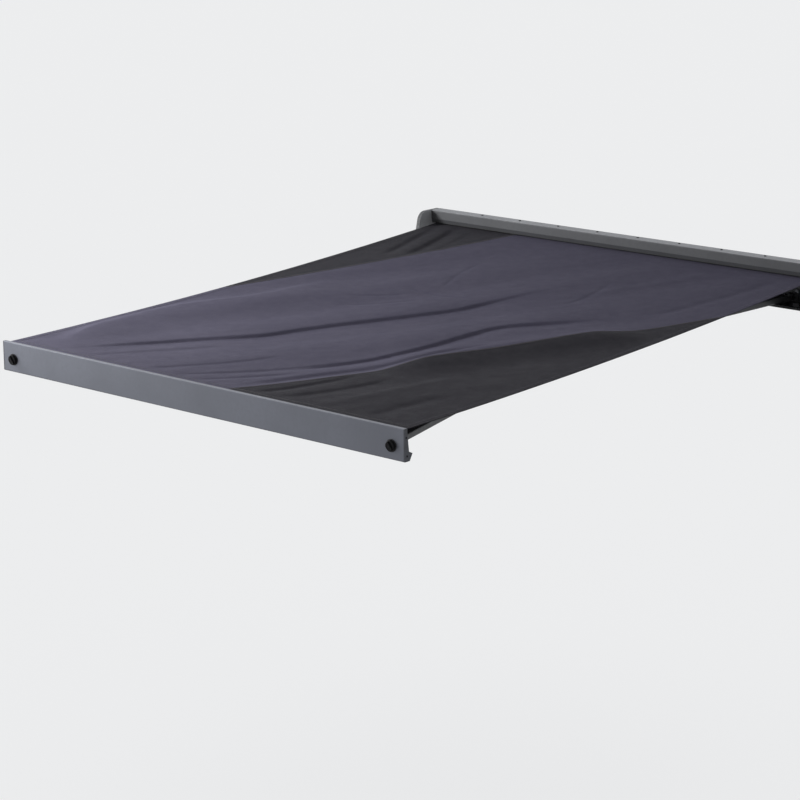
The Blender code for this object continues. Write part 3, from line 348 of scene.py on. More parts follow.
case_paint = coated("case_paint", CASE)
# Painted light: the cover's upward faces are made three times lighter, for its bright top strip
cover_paint = coated("cover_paint", COVER, 0.50, 0.15, dust=0.03, specular=0.30, painted_top_light=3.0)
# Painted shade: the rail's lower lip is darkened
rail_paint = coated("rail_paint", RAIL, 0.38, lip_shade_below=RAIL_TOP - LIP_SHADE_DROP)
rail_end_paint = moulded("rail_end_skin", RAIL_END, 0.55, 0.00006, 0.3)
end_paint = moulded("end_cover_skin", CASE, 0.62, 0.00006, 0.25)
black_plastic = moulded("black_plastic", BLACK, 0.55, specular=0.3)
knob_plastic = moulded("knob_plastic", KNOB, 0.62, specular=0.12)
casting = cast("arm_casting", CASTING)
steel = plated("plated_steel", STEEL, 0.38)
dark_steel = plated("black_zinc", BLACK_ZINC, 0.45)
seal_rubber = rubber("seal_rubber")
# Painted light: faces looking along X keep the light plate colour, all other faces are multiplied by the rim
plate_paint = coated("end_plate_paint", PLATE, 0.60, 0.10, streaks=False, specular=0.20, rim=0.17)
roller_metal = drawn("roller_metal", SILVER, 0.0, 0.40)
motor_paint = coated("motor_paint", MOTOR, 0.5, 0.1, streaks=False)
cloth = canvas("awning_cloth")
plain_cloth = canvas("wound_cloth", panels=False)
tape_cloth = canvas("seam_tape", TAPE, panels=False)
dark_thread = thread("dark_thread", THREAD)


def both(*parts):
    """The left and the right node of each part."""
    return tuple(side + "_" + part for part in parts for side in ("left", "right"))


NODE_FINISHES = (
    (("back_profile",), case_paint),
    (("cover_shell",), cover_paint),
    (("idler_bearing", "idler_plug", "drive_adapter", "cable_gland", "roller_keder", "front_keder",
      "left_latch_ring", "right_latch_ring"), black_plastic),
    (both("end_plate"), plate_paint),
    (both("end_cover"), end_paint),
    (("mount_bracket_left", "mount_bracket_centre", "mount_bracket_right"), case_paint),
    (both("shoulder_bracket", "wrist_bracket", "shoulder_eye", "elbow_fork", "elbow_tongue", "wrist_eye"),
     casting),
    (("lip_seal", "gutter_seal"), seal_rubber),
    (both("latch_keeper", "latch_cam"), dark_steel),
    (("motor_holder", *both("shoulder_pin", "elbow_pin", "wrist_pin", "arm_spring")), steel),
    (("roller_tube",), roller_metal),
    (("motor",), motor_paint),
    (("front_rail",), rail_paint),
    (("rail_end_cap_left", "rail_end_cap_right"), rail_end_paint),
)


def dress_nodes():
    """Every carried node gets its finish. The arm tubes' die lines run along each tube."""
    for names, material in NODE_FINISHES:
        for name in names:
            paint_node(name, material)
    for name, angle in (("left_upper_arm", -ARM_TURN), ("left_forearm", ARM_TURN),
                        ("right_upper_arm", ARM_TURN), ("right_forearm", -ARM_TURN)):
        paint_node(name, coated(name + "_paint", ARM, 0.45, angle=angle))


def paint_node(name, material):
    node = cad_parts[name]
    for slot in node.material_slots:
        slot.link = "DATA"
        slot.material = material


# Shapes

def new_object(name, data):
    obj = bpy.data.objects.new(name, data)
    bpy.context.scene.collection.objects.link(obj)
    return obj


class Shape:
    """Gathers closed solids into one mesh."""

    def __init__(self):
        self.bm = bmesh.new()

    def add(self, points, faces):
        verts = [self.bm.verts.new(p) for p in points]
        for face in faces:
            self.bm.faces.new([verts[i] for i in face])

    def turned(self, profile, matrix, steps=24, lobes=None):
        """A profile of (radius, height) or (radius, height, sides), from the bottom axis to the top one.

        With sides the ring follows a polygon, whose radius is then to the middle of a side.
        """
        points, faces = [], []
        for entry in profile:
            radius, height = entry[:2]
            sides = entry[2] if len(entry) > 2 else 0
            for k in range(steps):
                angle = 2 * math.pi * k / steps
                r = radius
                if sides:
                    part = 2 * math.pi / sides
                    r = radius / math.cos(angle % part - part / 2)
                if lobes:
                    r *= 1 - lobes[1] * (1 - math.cos(lobes[0] * angle)) / 2
                points.append(matrix @ Vector((r * math.cos(angle), r * math.sin(angle), height)))
        for row in range(len(profile) - 1):
            for k in range(steps):
                a, b = row * steps + k, row * steps + (k + 1) % steps
                faces.append((a, b, b + steps, a + steps))
        faces.append(tuple(range(steps))[::-1])
        faces.append(tuple((len(profile) - 1) * steps + k for k in range(steps)))
        self.add(points, faces)

    def prism(self, outline, thickness, matrix):
        """A flat outline given its thickness, half to either side of its plane."""
        n = len(outline)
        points = [matrix @ Vector((x, y, z)) for z in (-thickness / 2, thickness / 2) for x, y in outline]
        faces = [(k, (k + 1) % n, n + (k + 1) % n, n + k) for k in range(n)]
        self.add(points, faces + [tuple(range(n))[::-1], tuple(range(n, 2 * n))])

    def tube(self, profile, matrix, steps=24):
        """A closed profile of (radius, height) turned about the axis without touching it."""
        points, faces = [], []
        rows = len(profile)
        for radius, height in profile:
            for k in range(steps):
                angle = 2 * math.pi * k / steps
                points.append(matrix @ Vector((radius * math.cos(angle), radius * math.sin(angle), height)))
        for row in range(rows):
            for k in range(steps):
                a, b = row * steps + k, row * steps + (k + 1) % steps
                c = (row + 1) % rows * steps
                faces.append((a, b, c + (k + 1) % steps, c + k))
        self.add(points, faces)

    def piece(self, name, material, body, sharp=32.0, bevel=0.0):
        """The finished piece, riding on its body."""
        bmesh.ops.recalc_face_normals(self.bm, faces=self.bm.faces)
        mesh = bpy.data.meshes.new(name)
        self.bm.to_mesh(mesh)
        self.bm.free()
        mesh.materials.append(material)
        mesh.shade_smooth()
        mesh.set_sharp_from_angle(angle=math.radians(sharp))
        obj = new_object(name, mesh)
        if bevel:
            rounding = obj.modifiers.new("rounding", "BEVEL")
            rounding.width = bevel
            rounding.segments = 2
            rounding.limit_method = "ANGLE"
            rounding.harden_normals = True
        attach(obj, body)
        return obj


def facing(axis, at):
    """A matrix that stands local z along an axis at a place."""
    turn = Vector((0, 0, 1)).rotation_difference(Vector(axis)).to_matrix().to_4x4()
    return Matrix.Translation(at) @ turn


def button_screw(shape, matrix, radius, height):
    """A domed screw head with a hexagon socket, standing on local z."""
    socket = radius * 0.42
    dome = [(radius * math.cos(a), height * 0.25 + height * 0.75 * math.sin(a))
            for a in (0.0, 0.35, 0.7, 1.0)]
    top = dome[-1][1]
    shape.turned([(radius, -0.0006)] + dome + [(socket * 1.25, top + 0.02 * height), (socket, top, 6),
                 (socket, top - height * 0.55, 6), (socket * 0.3, top - height * 0.65)], matrix)


def flush_screw(shape, matrix, radius):
    """A countersunk head with a cross recess that shows as a dished ring, almost flush."""
    shape.turned([(radius * 0.9, -0.0005), (radius, 0.0003), (radius * 0.93, 0.0006),
                  (radius * 0.55, 0.0006), (radius * 0.40, 0.0005, 6), (radius * 0.36, -0.0002, 6)],
                 matrix)


def lock_nut(shape, matrix, half_flats, height, bore):
    """A chamfered hexagon nut with its lock ring, round a bolt that shows its end."""
    shape.turned([(half_flats * 0.98, 0.0), (half_flats, 0.0006, 6), (half_flats, height * 0.62, 6),
                  (half_flats * 0.97, height * 0.72), (half_flats * 0.86, height * 0.95),
                  (half_flats * 0.80, height), (bore * 1.05, height), (bore, height + 0.0004),
                  (bore * 0.92, height + 0.0018), (bore * 0.6, height + 0.0021)], matrix)


def washer(shape, matrix, radius, bore, thickness):
    shape.tube([(bore, 0), (radius - thickness * 0.3, 0), (radius, thickness * 0.3),
                (radius, thickness * 0.7), (radius - thickness * 0.3, thickness), (bore, thickness)],
               matrix)


# Cloth

# The broad form: a sag, less at the sides, and slanting folds that calm down towards both edges
CLOTH_SAG = 0.032
SAG_AT_EDGE = 0.65
FOLD_CALM = 4
FOLD_HEIGHT = 0.0052
FOLD_SLANT = -1.2
FOLD_WAVES = (14.0, 6.0)
FOLD_PHASE = 0.67
FOLD_DRIFT = 2.0
FOLD_SECOND = 0.6
FLAT_END = 0.012

# Drawn creases: points (across, run) from the rail towards the roller, half widths on the left and the
# right of that line, and height. A hollow is negative
FOLD_A = ((-0.735, 2.440), (-0.655, 2.290), (-0.575, 2.130), (-0.468, 1.967), (-0.335, 1.790),
          (-0.262, 1.610), (-0.188, 1.452), (-0.054, 1.202), (0.020, 1.050), (0.058, 0.920),
          (0.110, 0.780), (0.186, 0.600))
FOLD_B = ((0.085, 2.180), (0.121, 2.084), (0.183, 1.933), (0.244, 1.778), (0.274, 1.638),
          (0.295, 1.489), (0.314, 1.329), (0.346, 1.180), (0.494, 1.000), (0.643, 0.840))
SEAM_RIDGE = ((0.360, 1.950), (0.445, 1.800), (0.490, 1.660), (0.540, 1.500), (0.640, 1.320),
              (0.760, 1.140), (0.880, 0.960))
CREASES = (
    (FOLD_A, 0.0120, 0.070, -0.0090),
    (FOLD_A, 0.160, 0.180, -0.0085),
    (FOLD_B, 0.0110, 0.050, -0.0085),
    (SEAM_RIDGE, 0.240, 0.140, 0.0110),
    (SEAM_RIDGE, 0.040, 0.095, 0.0150),
    (((0.130, 2.44), (0.200, 2.240), (0.270, 2.060), (0.345, 1.900), (0.372, 1.760), (0.378, 1.620),
      (0.420, 1.500), (0.520, 1.360)), 0.018, 0.040, -0.0080),
    (((-0.740, 2.420), (-0.844, 2.216), (-0.895, 2.060), (-0.895, 1.900), (-0.857, 1.676),
      (-0.797, 1.527), (-0.735, 1.378), (-0.701, 1.173), (-0.650, 0.880)), 0.050, 0.150, 0.0125),
    (((-0.30, 2.44), (-0.200, 2.300), (-0.110, 2.160), (-0.020, 1.960)), 0.009, 0.030, -0.0030),
    (((-0.16, 2.45), (-0.070, 2.330), (0.036, 2.190), (0.130, 2.020), (0.200, 1.850)),
     0.009, 0.026, -0.0036),
    (((-0.06, 2.45), (0.020, 2.350), (0.101, 2.240), (0.180, 2.110)), 0.008, 0.020, -0.0032),
    (((0.24, 2.44), (0.300, 2.300), (0.345, 2.150), (0.380, 2.020)), 0.010, 0.030, -0.0045),
    (((0.36, 2.44), (0.420, 2.280), (0.470, 2.120), (0.500, 1.960)), 0.014, 0.050, -0.0045),
    (((-0.60, 2.44), (-0.520, 2.300), (-0.420, 2.130), (-0.300, 1.940)), 0.016, 0.050, -0.0030),
    (((-0.700, 0.560), (-0.755, 0.300), (-0.850, -0.060)), 0.018, 0.040, -0.0085),
    (((-0.790, 0.590), (-0.862, 0.300), (-0.960, -0.060)), 0.016, 0.030, -0.0060),
    (((-0.640, 0.420), (-0.690, 0.200), (-0.730, 0.030)), 0.012, 0.034, -0.0022),
    (((-0.367, 0.912), (-0.175, 0.927), (-0.004, 0.915)), 0.010, 0.014, -0.0024),
    (((-0.500, 1.160), (-0.380, 1.060), (-0.290, 0.960)), 0.009, 0.012, -0.0016),
    (((-0.420, 1.260), (-0.300, 1.150), (-0.190, 1.020)), 0.009, 0.012, -0.0016),
    (((-0.240, 0.860), (-0.330, 0.600), (-0.370, 0.420)), 0.011, 0.014, -0.0016),
    (((0.330, 0.800), (0.330, 0.600), (0.290, 0.420)), 0.012, 0.018, -0.0020),
    (((0.300, 0.660), (0.430, 0.420), (0.580, 0.110)), 0.040, 0.040, 0.0034),
    (((0.560, 2.430), (0.600, 2.200), (0.640, 1.980), (0.700, 1.780)), 0.035, 0.060, 0.0050),
    (((0.760, 2.430), (0.770, 2.250), (0.800, 2.050)), 0.020, 0.040, -0.0040),
    (((0.700, 0.800), (0.800, 0.420), (0.860, 0.060)), 0.022, 0.030, -0.0032),
)
CREASE_FADE = 0.22
# What is left of creases and wrinkles at the side edges, and how far from these they are whole
EDGE_SHARE = 0.15
EDGE_CALM = 0.10
# Shares of the run over which they die away at the roller and at the rail
ROLLER_CALM = 0.06
RAIL_CALM = 0.035
# Wrinkles: a height, then seed, waves, length and slant. The last ones show only near the rail
BROAD_HEIGHT, BROAD_RIPPLE = 0.0010, (7, 5, 0.20, 0.60)
FINE_HEIGHT, FINE_RIPPLE = 0.0003, (11, 6, 0.070, 0.75)
RAIL_HEIGHT, RAIL_RIPPLE = 0.0012, (5, 4, 0.11, 0.25)
RAIL_RIPPLE_SHARE = 0.10
# How deep the cloth may hang before it would lie on the folded arms, and how softly it stops there
DEEPEST = 0.0452
DEEPEST_SOFTNESS = 0.0012


def smooth_step(value):
    value = np.clip(value, 0.0, 1.0)
    return value * value * (3 - 2 * value)


def rounded(points, steps=4):
    """A smooth line through the points."""
    full = [points[0], *points, points[-1]]
    line = []
    for a, b, c, d in zip(full, full[1:], full[2:], full[3:]):
        for k in range(steps):
            t = k / steps
            line.append(tuple(0.5 * (2 * q + (r - p) * t + (2 * p - 5 * q + 4 * r - s) * t ** 2
                                     + (3 * q - p - 3 * r + s) * t ** 3)
                              for p, q, r, s in zip(a, b, c, d)))
    return line + [points[-1]]


def crease(x, run, points, left, right, height):
    """A crease along a line, steeper on its narrower side, fading at both ends."""
    points = rounded(points)
    best = np.full(x.shape, math.inf)
    share = np.zeros(x.shape)
    width = np.full(x.shape, left)
    lengths = [math.dist(a, b) for a, b in zip(points, points[1:])]
    total = sum(lengths)
    gone = 0.0
    for (x0, r0), (x1, r1), length in zip(points, points[1:], lengths):
        t = np.clip(((x - x0) * (x1 - x0) + (run - r0) * (r1 - r0)) / length ** 2, 0, 1)
        far = np.hypot(x - x0 - t * (x1 - x0), run - r0 - t * (r1 - r0))
        nearer = far < best
        best = np.where(nearer, far, best)
        share = np.where(nearer, (gone + t * length) / total, share)
        hand = (x - x0) * (r0 - r1) + (run - r0) * (x1 - x0)
        width = np.where(nearer, np.where(hand > 0, right, left), width)
        gone += length
    fade = smooth_step(share / CREASE_FADE) * smooth_step((1 - share) / CREASE_FADE)
    return height * fade * np.exp(-(best / width) ** 2)


def ripple(x, run, seed, waves, length, slant):
    """Faint uneven wrinkles: a few seeded waves across the drawn direction."""
    rng = np.random.default_rng(seed)
    total = np.zeros(x.shape)
    for _ in range(waves):
        turn = slant + rng.normal(0.0, 0.22)
        size = length * rng.uniform(0.7, 1.5)
        phase = rng.uniform(0, 2 * math.pi)
        across = x * math.cos(turn) + run * math.sin(turn)
        along = -x * math.sin(turn) + run * math.cos(turn)
        drift = 0.6 * np.sin(along * rng.uniform(2.0, 4.0) + rng.uniform(0, 6.28))
        total += np.sin(across * 2 * math.pi / size + phase + drift)
    return total / waves


def cloth_depth(x, run):
    """Depth of the cloth's middle below its straight plane, in metres."""
    across = x / CLOTH_HALF
    along = np.clip((run - FLAT_END) / (CLOTH_RUN - 2 * FLAT_END), 0, 1)
    belly = 4 * along * (1 - along)
    diagonal = across - FOLD_SLANT * (along - 0.5)
    folds = np.sin(FOLD_WAVES[0] * diagonal + FOLD_PHASE)
    folds = folds + FOLD_SECOND * np.sin(FOLD_WAVES[1] * diagonal - FOLD_DRIFT * along)
    sag = CLOTH_SAG * (1 - (1 - SAG_AT_EDGE) * across ** 2)
    depth = belly * (sag + FOLD_HEIGHT * folds * (1 - np.minimum(1, np.abs(across)) ** FOLD_CALM))
    ends = smooth_step(along / ROLLER_CALM) * smooth_step((1 - along) / RAIL_CALM)
    fine = np.zeros(np.shape(x))
    for points, left, right, height in CREASES:
        fine = fine + crease(x, run, points, left, right, height)
    fine = fine + BROAD_HEIGHT * ripple(x, run, *BROAD_RIPPLE) + FINE_HEIGHT * ripple(x, run, *FINE_RIPPLE)
    near_rail = np.exp(-((1 - along) / RAIL_RIPPLE_SHARE) ** 2)
    fine = fine + RAIL_HEIGHT * near_rail * ripple(x, run, *RAIL_RIPPLE)
    calm = EDGE_SHARE + (1 - EDGE_SHARE) * smooth_step((CLOTH_HALF - np.abs(x)) / EDGE_CALM)
    room = (DEEPEST - (depth - fine * ends * calm)) / DEEPEST_SOFTNESS
    return DEEPEST - DEEPEST_SOFTNESS * np.logaddexp(0.0, room)


def cloth_point(x, run, lift=0.0):
    """Places on the cloth's middle surface, lifted along the slope's normal."""
    base = np.asarray(CLOTH_START)
    down = np.asarray(DOWN_SLOPE)
    off = np.asarray(OFF_SLOPE)
    rise = (lift - cloth_depth(x, run))[..., None]
    return base + np.stack([x, 0 * x, 0 * x], -1) + run[..., None] * down + rise * off


HEM = 0.028
HEM_STEP = 0.0005
HEM_RAMP = 0.0015
HALF_THICK = 0.0006
EDGE_RAMP = 0.0012
RAIL_HEM = 0.045
CELL = 0.0065


def spaced(stops, cell):
    """Values through the stops, evenly split between them."""
    values = []
    for low, high in zip(stops, stops[1:]):
        count = max(1, round((high - low) / cell))
        values += [low + (high - low) * k / count for k in range(count)]
    return np.array(values + [stops[-1]])


def half_thickness(x, run):
    """Half the cloth's thickness: doubled in the side hems and in the pocket at the rail."""
    side = smooth_step((np.abs(x) - (CLOTH_HALF - HEM)) / HEM_RAMP)
    pocket = smooth_step((run - (CLOTH_RUN - RAIL_HEM)) / HEM_RAMP)
    edge = smooth_step((CLOTH_HALF - np.abs(x)) / EDGE_RAMP)
    return (HALF_THICK + HEM_STEP * np.maximum(side, pocket)) * (0.55 + 0.45 * edge)


def make_canopy():
    """The cloth from the roller to the front keder, as one closed sheet with its hems."""
    hem = CLOTH_HALF - HEM
    pocket = CLOTH_RUN - RAIL_HEM
    columns = spaced((-CLOTH_HALF, -CLOTH_HALF + EDGE_RAMP, -hem - HEM_RAMP, -hem, hem, hem + HEM_RAMP,
                      CLOTH_HALF - EDGE_RAMP, CLOTH_HALF), CELL)
    rows = spaced((0.0, FLAT_END, pocket, pocket + HEM_RAMP, CLOTH_RUN - FLAT_END, CLOTH_RUN), CELL)
    x, run = np.meshgrid(columns, rows)
    thick = half_thickness(x, run)
    top = cloth_point(x, run, thick).reshape(-1, 3)
    low = cloth_point(x, run, -thick).reshape(-1, 3)
    n, m = len(rows), len(columns)
    ids = np.arange(n * m).reshape(n, m)
    quads = np.stack([ids[:-1, :-1], ids[:-1, 1:], ids[1:, 1:], ids[1:, :-1]], -1).reshape(-1, 4)
    under = quads[:, ::-1] + n * m
    rim = np.concatenate([ids[0, :], ids[1:, -1], ids[-1, -2::-1], ids[-2:0:-1, 0]])
    after = np.roll(rim, -1)
    sides = np.stack([rim, rim + n * m, after + n * m, after], -1)
    mesh = bpy.data.meshes.new("canopy_cloth")
    mesh.from_pydata(np.concatenate([top, low]).tolist(), [], np.concatenate([quads, under, sides]).tolist())
    mesh.materials.append(cloth)
    mesh.shade_smooth()
    mesh.set_sharp_from_angle(angle=math.radians(60))
    obj = new_object("canopy_cloth", mesh)
    bm = bmesh.new()
    bm.from_mesh(mesh)
    bmesh.ops.recalc_face_normals(bm, faces=bm.faces)
    bm.to_mesh(mesh)
    bm.free()
    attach(obj, "root")
    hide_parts("canopy")
    fold_away(obj)


def fold_away(obj):
    """Gives the piece its own copy of its mesh."""
    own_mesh(obj)


def ribbon(shape, line, half_width, thickness, lift):
    """A flat strip on the cloth along a line of (x, run), its edges pressed down."""
    line = np.array(line)
    way = np.gradient(line, axis=0)
    way /= np.linalg.norm(way, axis=1)[:, None]
    side = np.stack([way[:, 1], -way[:, 0]], -1)
    offsets = (-1.0, -0.86, -0.3, 0.3, 0.86, 1.0)
    heights = (0.15, 1.0, 1.0, 1.0, 1.0, 0.15)
    rings = []
    for share, height in zip(offsets, heights):
        at = line + side * half_width * share
        rings.append(cloth_point(at[:, 0], at[:, 1], lift + thickness * height))
    for share in reversed(offsets):
        at = line + side * half_width * share
        rings.append(cloth_point(at[:, 0], at[:, 1], np.full(len(at), lift - 0.0003)))
    grid = np.stack(rings, 1)
    n, m = grid.shape[:2]
    faces = [(i * m + j, i * m + (j + 1) % m, (i + 1) * m + (j + 1) % m, (i + 1) * m + j)
             for i in range(n - 1) for j in range(m)]
    faces += [tuple(range(m))[::-1], tuple((n - 1) * m + j for j in range(m))]
    shape.add(grid.reshape(-1, 3).tolist(), faces)


def stitches(shape, line, lift, pitch=0.0052, length=0.0036, radius=0.00042):
    """A row of thread stitches lying on the cloth along a line of (x, run)."""
    line = np.array(line)
    sides = 5
    steps = np.linalg.norm(np.diff(line, axis=0), axis=1)
    at = np.concatenate([[0.0], np.cumsum(steps)])
    starts = np.arange(pitch, at[-1] - pitch, pitch)
    rings = []
    for share, size in ((0.0, 0.35), (0.18, 1.0), (0.82, 1.0), (1.0, 0.35)):
        s = starts + length * share
        x, run = np.interp(s, at, line[:, 0]), np.interp(s, at, line[:, 1])
        x2, run2 = np.interp(s + 0.001, at, line[:, 0]), np.interp(s + 0.001, at, line[:, 1])
        way = np.stack([x2 - x, run2 - run], -1)
        way /= np.linalg.norm(way, axis=1)[:, None]
        middle = cloth_point(x, run, np.full(len(x), lift + radius * (0.6 if size == 1.0 else -0.2)))
        side = way[:, 1:2] * np.array([[1.0, 0, 0]]) - way[:, 0:1] * np.asarray(DOWN_SLOPE)
        up = np.asarray(OFF_SLOPE)
        for k in range(sides):
            angle = 2 * math.pi * k / sides
            rings.append(middle + radius * size * (math.cos(angle) * side + math.sin(angle) * up))
    count = len(starts)
    grid = np.stack(rings, 1)
    single = []
    for row in range(3):
        for k in range(sides):
            a, b = row * sides + k, row * sides + (k + 1) % sides
            single.append((a, b, b + sides, a + sides))
    ends = [tuple(range(sides))[::-1], tuple(range(3 * sides, 4 * sides))]
    faces = [tuple(i * 4 * sides + v for v in face) for i in range(count) for face in single + ends]
    shape.add(grid.reshape(-1, 3).tolist(), faces)


def straight(x0, run0, x1, run1, cell=0.012):
    count = max(2, round(math.dist((x0, run0), (x1, run1)) / cell))
    share = np.linspace(0, 1, count + 1)
    return np.stack([x0 + (x1 - x0) * share, run0 + (run1 - run0) * share], -1)


STRIP_HALF = 0.0065
STRIP_THICK = 0.0006
STRIP_ROW = 0.0042
STRIP_INSET = 0.008
SEAM_STOP = 0.022
HEM_ROWS = (0.0035, HEM - 0.0045)
RAIL_ROWS = (RAIL_HEM - 0.004, RAIL_HEM - 0.010)
RAIL_ROW_INSET = 0.006


def make_seams():
    """Seam strips over the panel joins and every row of stitching, on the cloth."""
    start, end = FLAT_END, CLOTH_RUN - SEAM_STOP
    for seam, name in zip(SEAMS, ("left", "right")):
        slope, place = seam_slope(seam)
        side = seam[0]
        hem_run = (side * (CLOTH_HALF - STRIP_INSET) - place) / slope
        stops = (start, hem_run) if side < 0 else (hem_run, end)
        line = straight(place + slope * stops[0], stops[0], place + slope * stops[1], stops[1])
        strip = Shape()
        ribbon(strip, line, STRIP_HALF, STRIP_THICK, HALF_THICK)
        fold_away(strip.piece("seam_strip_" + name, tape_cloth, "root", 50))
        rows = Shape()
        for hand in (-1, 1):
            offset = line + np.array([[hand * STRIP_ROW, 0.0]])
            stitches(rows, offset, HALF_THICK + STRIP_THICK)
        fold_away(rows.piece("seam_stitching_" + name, dark_thread, "root", 60))
        hems = Shape()
        for inset in HEM_ROWS:
            x = side * (CLOTH_HALF - inset)
            stitches(hems, straight(x, start, x, end), HALF_THICK + HEM_STEP)
        fold_away(hems.piece("hem_stitching_" + name, dark_thread, "root", 60))
    rail_rows = Shape()
    for inset in RAIL_ROWS:
        run = CLOTH_RUN - inset
        stitches(rail_rows, straight(-CLOTH_HALF + RAIL_ROW_INSET, run, CLOTH_HALF - RAIL_ROW_INSET, run),
                 HALF_THICK + HEM_STEP)
    fold_away(rail_rows.piece("rail_hem_stitching", dark_thread, "root", 60))


def make_roll():
    """The last turns of cloth on the roller, as one wound sheet with its end showing."""
    turns = 1.35
    steps = 64
    inner, outer = 0.01925, 0.0209
    thick = 0.00075
    lead = 1.2
    unevenness = 0.004
    section = []
    for k in range(steps + 1):
        angle = 2 * math.pi * turns * k / steps
        radius = inner + thick / 2 + (outer - inner - thick) * k / steps
        section.append((angle, radius))
    outline = [(r - thick / 2, a) for a, r in section] + [(r + thick / 2, a) for a, r in reversed(section)]
    points, faces = [], []
    columns = spaced((-CLOTH_HALF, -CLOTH_HALF + 0.002, CLOTH_HALF - 0.002, CLOTH_HALF), 0.06)
    rng = np.random.default_rng(3)
    for x in columns:
        swell = 1 + unevenness * rng.uniform(-1, 1)
        for radius, angle in outline:
            points.append((x, ROLLER.y + radius * swell * math.cos(angle - lead),
                           ROLLER.z + radius * swell * math.sin(angle - lead)))
    m = len(outline)
    for i in range(len(columns) - 1):
        for j in range(m):
            k = (j + 1) % m
            faces.append((i * m + j, i * m + k, (i + 1) * m + k, (i + 1) * m + j))
    half = m // 2
    for base in (0, (len(columns) - 1) * m):
        for j in range(half - 1):
            faces.append((base + j, base + j + 1, base + m - 2 - j, base + m - 1 - j))
    roll = Shape()
    roll.add(points, faces)
    obj = roll.piece("wound_cloth", plain_cloth, "roller", 50)
    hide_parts("fabric_roll")


# Fittings

TOP_SCREWS = 8
TOP_SCREW_PITCH = 0.2060
TOP_SCREW_DEPTH = 0.022
# Depth and drop of the screws in each end cover, and of those in each end cap behind the rail's face
END_SCREWS = ((0.0115, 0.014), (0.0115, 0.162), (0.118, 0.158), (0.060, 0.022))
END_FACE = 1.0 - 0.0001
CAP_SCREWS = ((0.0085, 0.030), (0.0125, 0.092))


def make_top_screws():
    """Low button screws along the cover's top strip."""
    screws = Shape()
    for k in range(TOP_SCREWS):
        x = (k - (TOP_SCREWS - 1) / 2) * TOP_SCREW_PITCH
        button_screw(screws, facing((0, 0, 1), (x, BACK_Y - TOP_SCREW_DEPTH, TOP_Z)), 0.0052, 0.0030)
    screws.piece("cover_screws", dark_steel, "root")


def make_end_screws():
    """Screws through both end covers into the ports of the back profile, and two at the nose."""
    for name, side in SIDES:
        screws = Shape()
        for depth, drop in END_SCREWS:
            at = (side * END_FACE, BACK_Y - depth, TOP_Z - drop)
            button_screw(screws, facing((side, 0, 0), at), 0.0042, 0.0022)
        screws.piece(name + "_end_screws", dark_steel, "root")


def make_cap_screws():
    """Two screws hold each end cap on the front rail."""
    for name, side in SIDES:
        screws = Shape()
        for depth, drop in CAP_SCREWS:
            at = (side * RAIL_HALF, RAIL_FACE + depth, RAIL_TOP - drop)
            button_screw(screws, facing((side, 0, 0), at), 0.0034, 0.0018)
        screws.piece("rail_cap_screws_" + name, dark_steel, "rail")


RING_THICK = 0.0026
GRIP_TURN = math.radians(-52)
GRIP_MIDDLE = 0.0092
GRIP_THICK = 0.0056


def make_knobs():
    """Quarter-turn knobs: a lobed skirt, a raised grip bar and a dished middle with its screw."""
    for name, side in SIDES:
        out = facing((0, -1, 0), (side * LATCH_X, RAIL_FACE - RING_THICK, LATCH_Z))
        knob = Shape()
        profile = [(0.006, -0.045), (0.006, 0.0001), (0.0184, 0.0), (0.0190, 0.0006), (0.0190, 0.0062),
                   (0.0184, 0.0074), (0.0172, 0.0080), (0.0150, 0.0080), (0.0143, 0.0073),
                   (0.0136, 0.0073), (0.0040, 0.0070)]
        knob.turned(profile, out, 64, (4, 0.07))
        grip = [(-0.0150, -0.0032), (-0.0136, -0.0045), (0.0118, -0.0055), (0.0146, -0.0040),
                (0.0160, 0.0), (0.0146, 0.0040), (0.0118, 0.0055), (-0.0136, 0.0045), (-0.0150, 0.0032)]
        handle = out @ Matrix.Translation((0, 0, GRIP_MIDDLE)) @ Matrix.Rotation(GRIP_TURN, 4, "Z")
        knob.prism(grip, GRIP_THICK, handle)
        obj = knob.piece(name + "_latch_grip", knob_plastic, name + "_latch", 35, 0.0008)
        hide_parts(name + "_latch_knob")
        middle = Shape()
        flush_screw(middle, out @ Matrix.Translation((0, 0, GRIP_MIDDLE + GRIP_THICK / 2)), 0.0026)
        middle.piece(name + "_latch_screw", dark_steel, name + "_latch")


STUD_PLATE = 0.003
STUD_PLATE_HALF = 0.030
STUD_PLATE_DROPS = (0.104, 0.072)
STUD_SIDE = 0.022
STUD_DROPS = (0.080, 0.096)
STUD_WASHER = 0.0010
INNER_WALL_Y = BACK_Y - 0.0033
FOOT_FACE_Y = BACK_Y + 0.0063


def make_feet_fittings():
    """Stud plates inside the back wall, with washers and lock nuts outside on each foot."""
    for name, x in zip(("left", "centre", "right"), FEET):
        plate = Shape()
        half = STUD_PLATE_HALF
        low, high = (TOP_Z - drop for drop in STUD_PLATE_DROPS)
        outline = [(-half, low), (half, low), (half, high), (-half, high)]
        middle = Matrix.Translation((x, INNER_WALL_Y - STUD_PLATE / 2, 0))
        plate.prism(outline, STUD_PLATE, middle @ Matrix.Rotation(math.pi / 2, 4, "X"))
        for hand in (-1, 1):
            for drop in STUD_DROPS:
                at = facing((0, 1, 0), (x + hand * STUD_SIDE, FOOT_FACE_Y, TOP_Z - drop))
                washer(plate, at, 0.0078, 0.0042, STUD_WASHER)
                lock_nut(plate, at @ Matrix.Translation((0, 0, STUD_WASHER)), 0.0064, 0.0052, 0.0040)
                plate.turned([(0.0039, -0.0125), (0.0039, 0.0012)], at)
                inside = facing((0, -1, 0), (x + hand * STUD_SIDE, INNER_WALL_Y - STUD_PLATE, TOP_Z - drop))
                plate.turned([(0.0062, -0.0002), (0.0062, 0.0006), (0.0050, 0.0016), (0.0022, 0.0021)],
                             inside)
        obj = plate.piece("foot_fixings_" + name, steel, "root", 32, 0.0003)
        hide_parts("stud_plate_" + name)


def arm_matrix(x, depth, drop):
    place = Matrix.Translation((x, BACK_Y - depth, TOP_Z - drop))
    return place @ Matrix.Rotation(SLOPE, 4, "X")


PIN_HALF = 0.013


